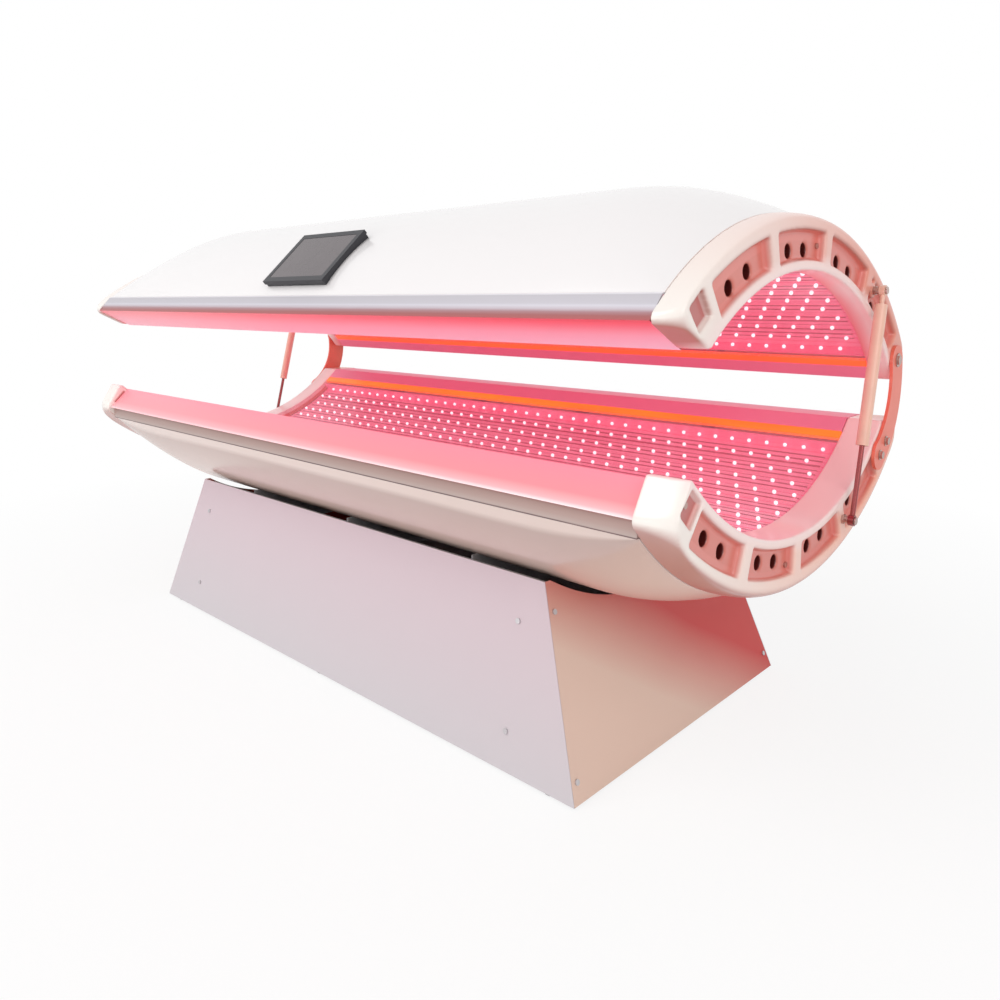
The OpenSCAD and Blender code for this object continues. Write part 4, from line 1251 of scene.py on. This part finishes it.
@dataclass
class Studio:
    """The pale floor, the soft light and the camera at the photograph's place, in metres.

    The camera sees a share of the object's shadow, which fades out between the two shadow radii.
    """

    eye: Point3 = (1.4867, -1.3524, 0.824)
    turn_deg: float = 43.12
    dip_deg: float = 6.34
    lens: float = 29.35
    sensor: float = 36.0
    shift_y: float = -0.1075
    floor_half: float = 60.0
    floor_colour: Colour = (0.93, 0.93, 0.93)
    floor_white: float = 0.82
    shadow_radii: Point2 = (1.0, 2.4)
    glossy_share: float = 0.6
    daylight: float = 0.58
    lamps: tuple[AreaLamp, ...] = (
        AreaLamp("key", (-1.5, -3.2, 4.0), (0.0, 0.0, 0.6), 2.6, 76.0),
        AreaLamp("fill", (3.6, -1.6, 2.4), (0.4, 0.0, 0.5), 2.4, 38.0, (1.0, 0.93, 0.91)),
        AreaLamp("low", (-0.4, -2.6, 0.35), (0.0, 0.0, 0.45), 1.6, 9.0, (1.0, 0.95, 0.93)),
    )

    def camera(self) -> None:
        """Makes the camera."""
        cam = bpy.data.cameras.new("camera")
        cam.lens, cam.sensor_width, cam.shift_y = self.lens, self.sensor, self.shift_y
        ob = add_object("camera", cam)
        ob.location = self.eye
        ob.rotation_euler = (math.radians(90.0 - self.dip_deg), 0.0, math.radians(self.turn_deg))
        bpy.context.scene.camera = ob

    def floor(self) -> None:
        """Makes the floor."""
        s = self.floor_half
        me = bpy.data.meshes.new("floor")
        me.from_pydata([(-s, -s, 0), (s, -s, 0), (s, s, 0), (-s, s, 0)], [], [(0, 1, 2, 3)])
        ob = add_object("floor", me)
        p = Paint("floor_white")
        p.set(Base_Color=self.floor_colour, Roughness=0.9)
        x, y, _ = p.coordinates()
        camera, glossy = p.values("ShaderNodeLightPath", "Is Camera Ray", "Is Glossy Ray")
        seen = (camera + glossy * self.glossy_share).ramp(0.0, 1.0)
        far = (x * x + y * y).math("SQRT").ramp(*self.shadow_radii)
        share = self.floor_white + far * (1.0 - self.floor_white)
        white = p.node("ShaderNodeEmission", inputs={"Color": WHITE, "Strength": 1.0})
        mixer = p.node("ShaderNodeMixShader", inputs={0: seen * share, 1: p.shader, 2: white})
        p.feed(p.out.inputs[0], mixer)
        ob.data.materials.append(p.mat)

    def world(self) -> None:
        """Makes the world: plain light, but white to the camera and to reflections."""
        w = bpy.data.worlds.new("studio")
        bpy.context.scene.world = w
        w.use_nodes = True
        t = Nodes(w.node_tree)
        rays = t.values("ShaderNodeLightPath", "Is Camera Ray", "Is Glossy Ray", "Is Transmission Ray")
        soft, white = (t.node("ShaderNodeBackground", inputs={0: WHITE, 1: light})
                       for light in (self.daylight, 1.0))
        seen = (rays[0] + rays[1] + rays[2]).ramp(0.0, 1.0)
        mixer = t.node("ShaderNodeMixShader", inputs={0: seen, 1: soft, 2: white})
        t.feed(t.node("ShaderNodeOutputWorld").inputs[0], mixer)

    def build(self) -> None:
        """Sets the whole stage."""
        bpy.context.scene.view_settings.view_transform = "Standard"
        self.camera()
        self.floor()
        self.world()
        for lamp in self.lamps:
            lamp.build()


@dataclass(frozen=True)
class HalfLook:
    """What sets the finishes of one half apart: its rail, strip, caps and rows of lamps.

    The rail has stops for face and ledge: painted highlights and shadow lines on the face, painted
    pink lamp light on the ledge. The caps' rear colour is painted red lamp light. The lamps have a
    number of rows, the first row's angle and the angle between rows, in degrees. The bush is a
    hinge pin's bore.
    """

    rail: tuple[Stops, Stops]
    strip: tuple[Colour, Colour]
    # Painted red lamp light over the caps' rear.
    cap_rear: Colour
    lamp_rows: tuple[int, float, float]
    bush: Optional[Point2] = None


LOOKS = {
    Half.BED: HalfLook(
        # Bed rail: painted highlight at the nose, painted shadow lines below it and at the shell, painted
        # pink lamp light on the ledge.
        rail=(((126.0, (0.93, 0.9, 0.91)), (129.0, (0.88, 0.84, 0.85)), (131.0, (0.36, 0.16, 0.15)),
               (137.0, (0.44, 0.29, 0.26)), (148.0, (0.46, 0.33, 0.3)), (156.0, (0.5, 0.4, 0.37)),
               (158.0, (0.16, 0.1, 0.1))),
              ((80.0, (0.93, 0.27, 0.35)), (112.0, (0.98, 0.27, 0.3)), (124.0, (0.99, 0.48, 0.5)),
               (129.0, (0.96, 0.93, 0.94)))),
        # The caps' rear colour is painted red lamp light.
        strip=((1.0, 0.24, 0.015), (0.96, 0.09, 0.03)), cap_rear=(0.95, 0.46, 0.34),
        lamp_rows=(20, -39.5, 4.0)),
    Half.LID: HalfLook(
        # Lid rail: painted shadow line at the ledge edge, painted highlights up the face, painted pink
        # and red lamp light on the ledge.
        rail=(((143.0, (0.42, 0.09, 0.09)), (149.0, (0.34, 0.1, 0.1)), (154.0, (0.38, 0.2, 0.22)),
               (158.0, (0.52, 0.45, 0.5)), (163.0, (0.62, 0.6, 0.66)), (166.0, (0.53, 0.51, 0.56)),
               (178.0, (0.51, 0.49, 0.53)), (180.0, (0.74, 0.72, 0.76))),
              ((101.0, (0.93, 0.58, 0.72)), (120.0, (0.95, 0.4, 0.52)), (136.0, (0.95, 0.12, 0.17)),
               (143.0, (0.8, 0.05, 0.08)))),
        # The caps' rear colour is painted red lamp light.
        strip=((0.98, 0.15, 0.025), (0.92, 0.06, 0.04)), cap_rear=(0.8, 0.27, 0.19),
        lamp_rows=(25, -36.8, 3.45), bush=(418.0, -51.0)),
}

SHARED_LOOKS: tuple[tuple[Finish, tuple[str, ...]], ...] = (
    (LitBand("lit_band"), ("bed_rear_rail", "lid_rear_rail")),
    (PlainFinish("clear_sheet", (1.0, 0.62, 0.68), 0.08, alpha=0.14, unevenness=0.0),
     ("bed_clear_sheet", "lid_clear_sheet")),
    (PlainFinish("panel_screw_steel", (0.62, 0.6, 0.62), 0.3, metallic=0.8), ("panel_screws",)),
    # The steel's reddish tint is a painted reflection of the red lamps.
    (PlainFinish("bright_steel", (0.58, 0.42, 0.38), 0.22, metallic=1.0, unevenness=0.08),
     ("bed_cap_screws", "lid_cap_screws", "hinge_arm_bolts", "hinge_pins", "hinge_bushes",
      "bed_strut_studs", "lid_strut_studs")),
    # The rod's deep red is a painted reflection of the red lamps.
    (PlainFinish("rod_steel", (0.36, 0.09, 0.09), 0.2, metallic=0.85),
     ("left_strut_rod", "right_strut_rod")),
    (PlainFinish("strut_cream", (0.95, 0.58, 0.45), 0.34, coat=0.4),
     ("left_strut_tube", "right_strut_tube")),
    (PlainFinish("arm_salmon", (0.95, 0.2, 0.13), 0.36, coat=0.3),
     ("left_hinge_arm", "right_hinge_arm")),
    (PlainFinish("dark_plastic", (0.022, 0.022, 0.028), 0.42, bump=0.0002, grain=400.0),
     ("control_box", "power_inlet", "screen_plinth", "screen_bezel", "bed_fan_frames", "lid_fan_frames",
      "bed_left_fan_rotor", "bed_right_fan_rotor", "lid_left_fan_rotor", "lid_right_fan_rotor")),
    (PlainFinish("screen_glass", (0.105, 0.085, 0.092), 0.24, coat=0.12), ("screen_glass",)),
    (PlainFinish("frame_grey", (0.55, 0.55, 0.57), 0.5),
     ("base_long_tubes", "base_cross_tubes", "base_posts", "base_saddles", "base_floor_plate")),
    (PlainFinish("case_metal", (0.62, 0.63, 0.64), 0.4, metallic=0.8),
     ("power_supplies", "bed_ribs", "lid_ribs")),
    (PlainFinish("foot_rubber", (0.03, 0.03, 0.03), 0.8), ("base_feet",)),
    # Front and rear panels: painted shade from the shell towards the top, tinted pink.
    (PanelPaint("panel_lavender", (0.62, 0.585, 0.615), (0.665, 0.53, 0.58)),
     ("base_front_panel", "base_rear_panel")),
    # End panels: painted red lamp light towards the top and the rear.
    (PanelPaint("panel_cream", (0.77, 0.57, 0.47), (0.62, 0.045, 0.04), 1.2, 0.72, 1.28),
     ("base_left_panel", "base_right_panel")),
)


def main() -> None:
    """Builds the stage and every piece in order."""
    logging.basicConfig(level=logging.INFO, format="%(name)s: %(message)s")
    Studio().build()
    for half in Half:
        CurvedShell(half, ShellGloss(f"{half.word}_shell_gloss").build()).build()
    for half, look in LOOKS.items():
        plastic = CapPlastic(f"{half.word}_cap_plastic", half, look.cap_rear).build()
        EndCap(half, plastic, look.bush).build()

    lamp = PlainFinish("lamp_glow", (1.0, 0.9, 0.92), 0.3,
                       glow=(1.0, 0.82, 0.86), glow_strength=1.15).build()
    lamp.cycles.emission_sampling = "NONE"
    for half, look in LOOKS.items():
        LampField(half, lamp, *look.lamp_rows).build()

    for half, look in LOOKS.items():
        n = half.word
        cad(f"{n}_front_rail", RailMetal(f"{n}_rail_metal", half, *look.rail).build())
        cad(f"{n}_light_boards", LampBed(f"{n}_lamp_bed", half).build())
        # The tray is no lamp: painted lamp glow on it, like the boards.
        cad(f"{n}_tray", LampBed(f"{n}_tray_glow", half, line=LampBed.rear).build())
        cad(f"{n}_light_strip", LampStrip(f"{n}_strip_glow", *look.strip).build())
    for finish, nodes in SHARED_LOOKS:
        material = finish.build()
        for node in nodes:
            cad(node, material)


if __name__ == "__main__":
    main()
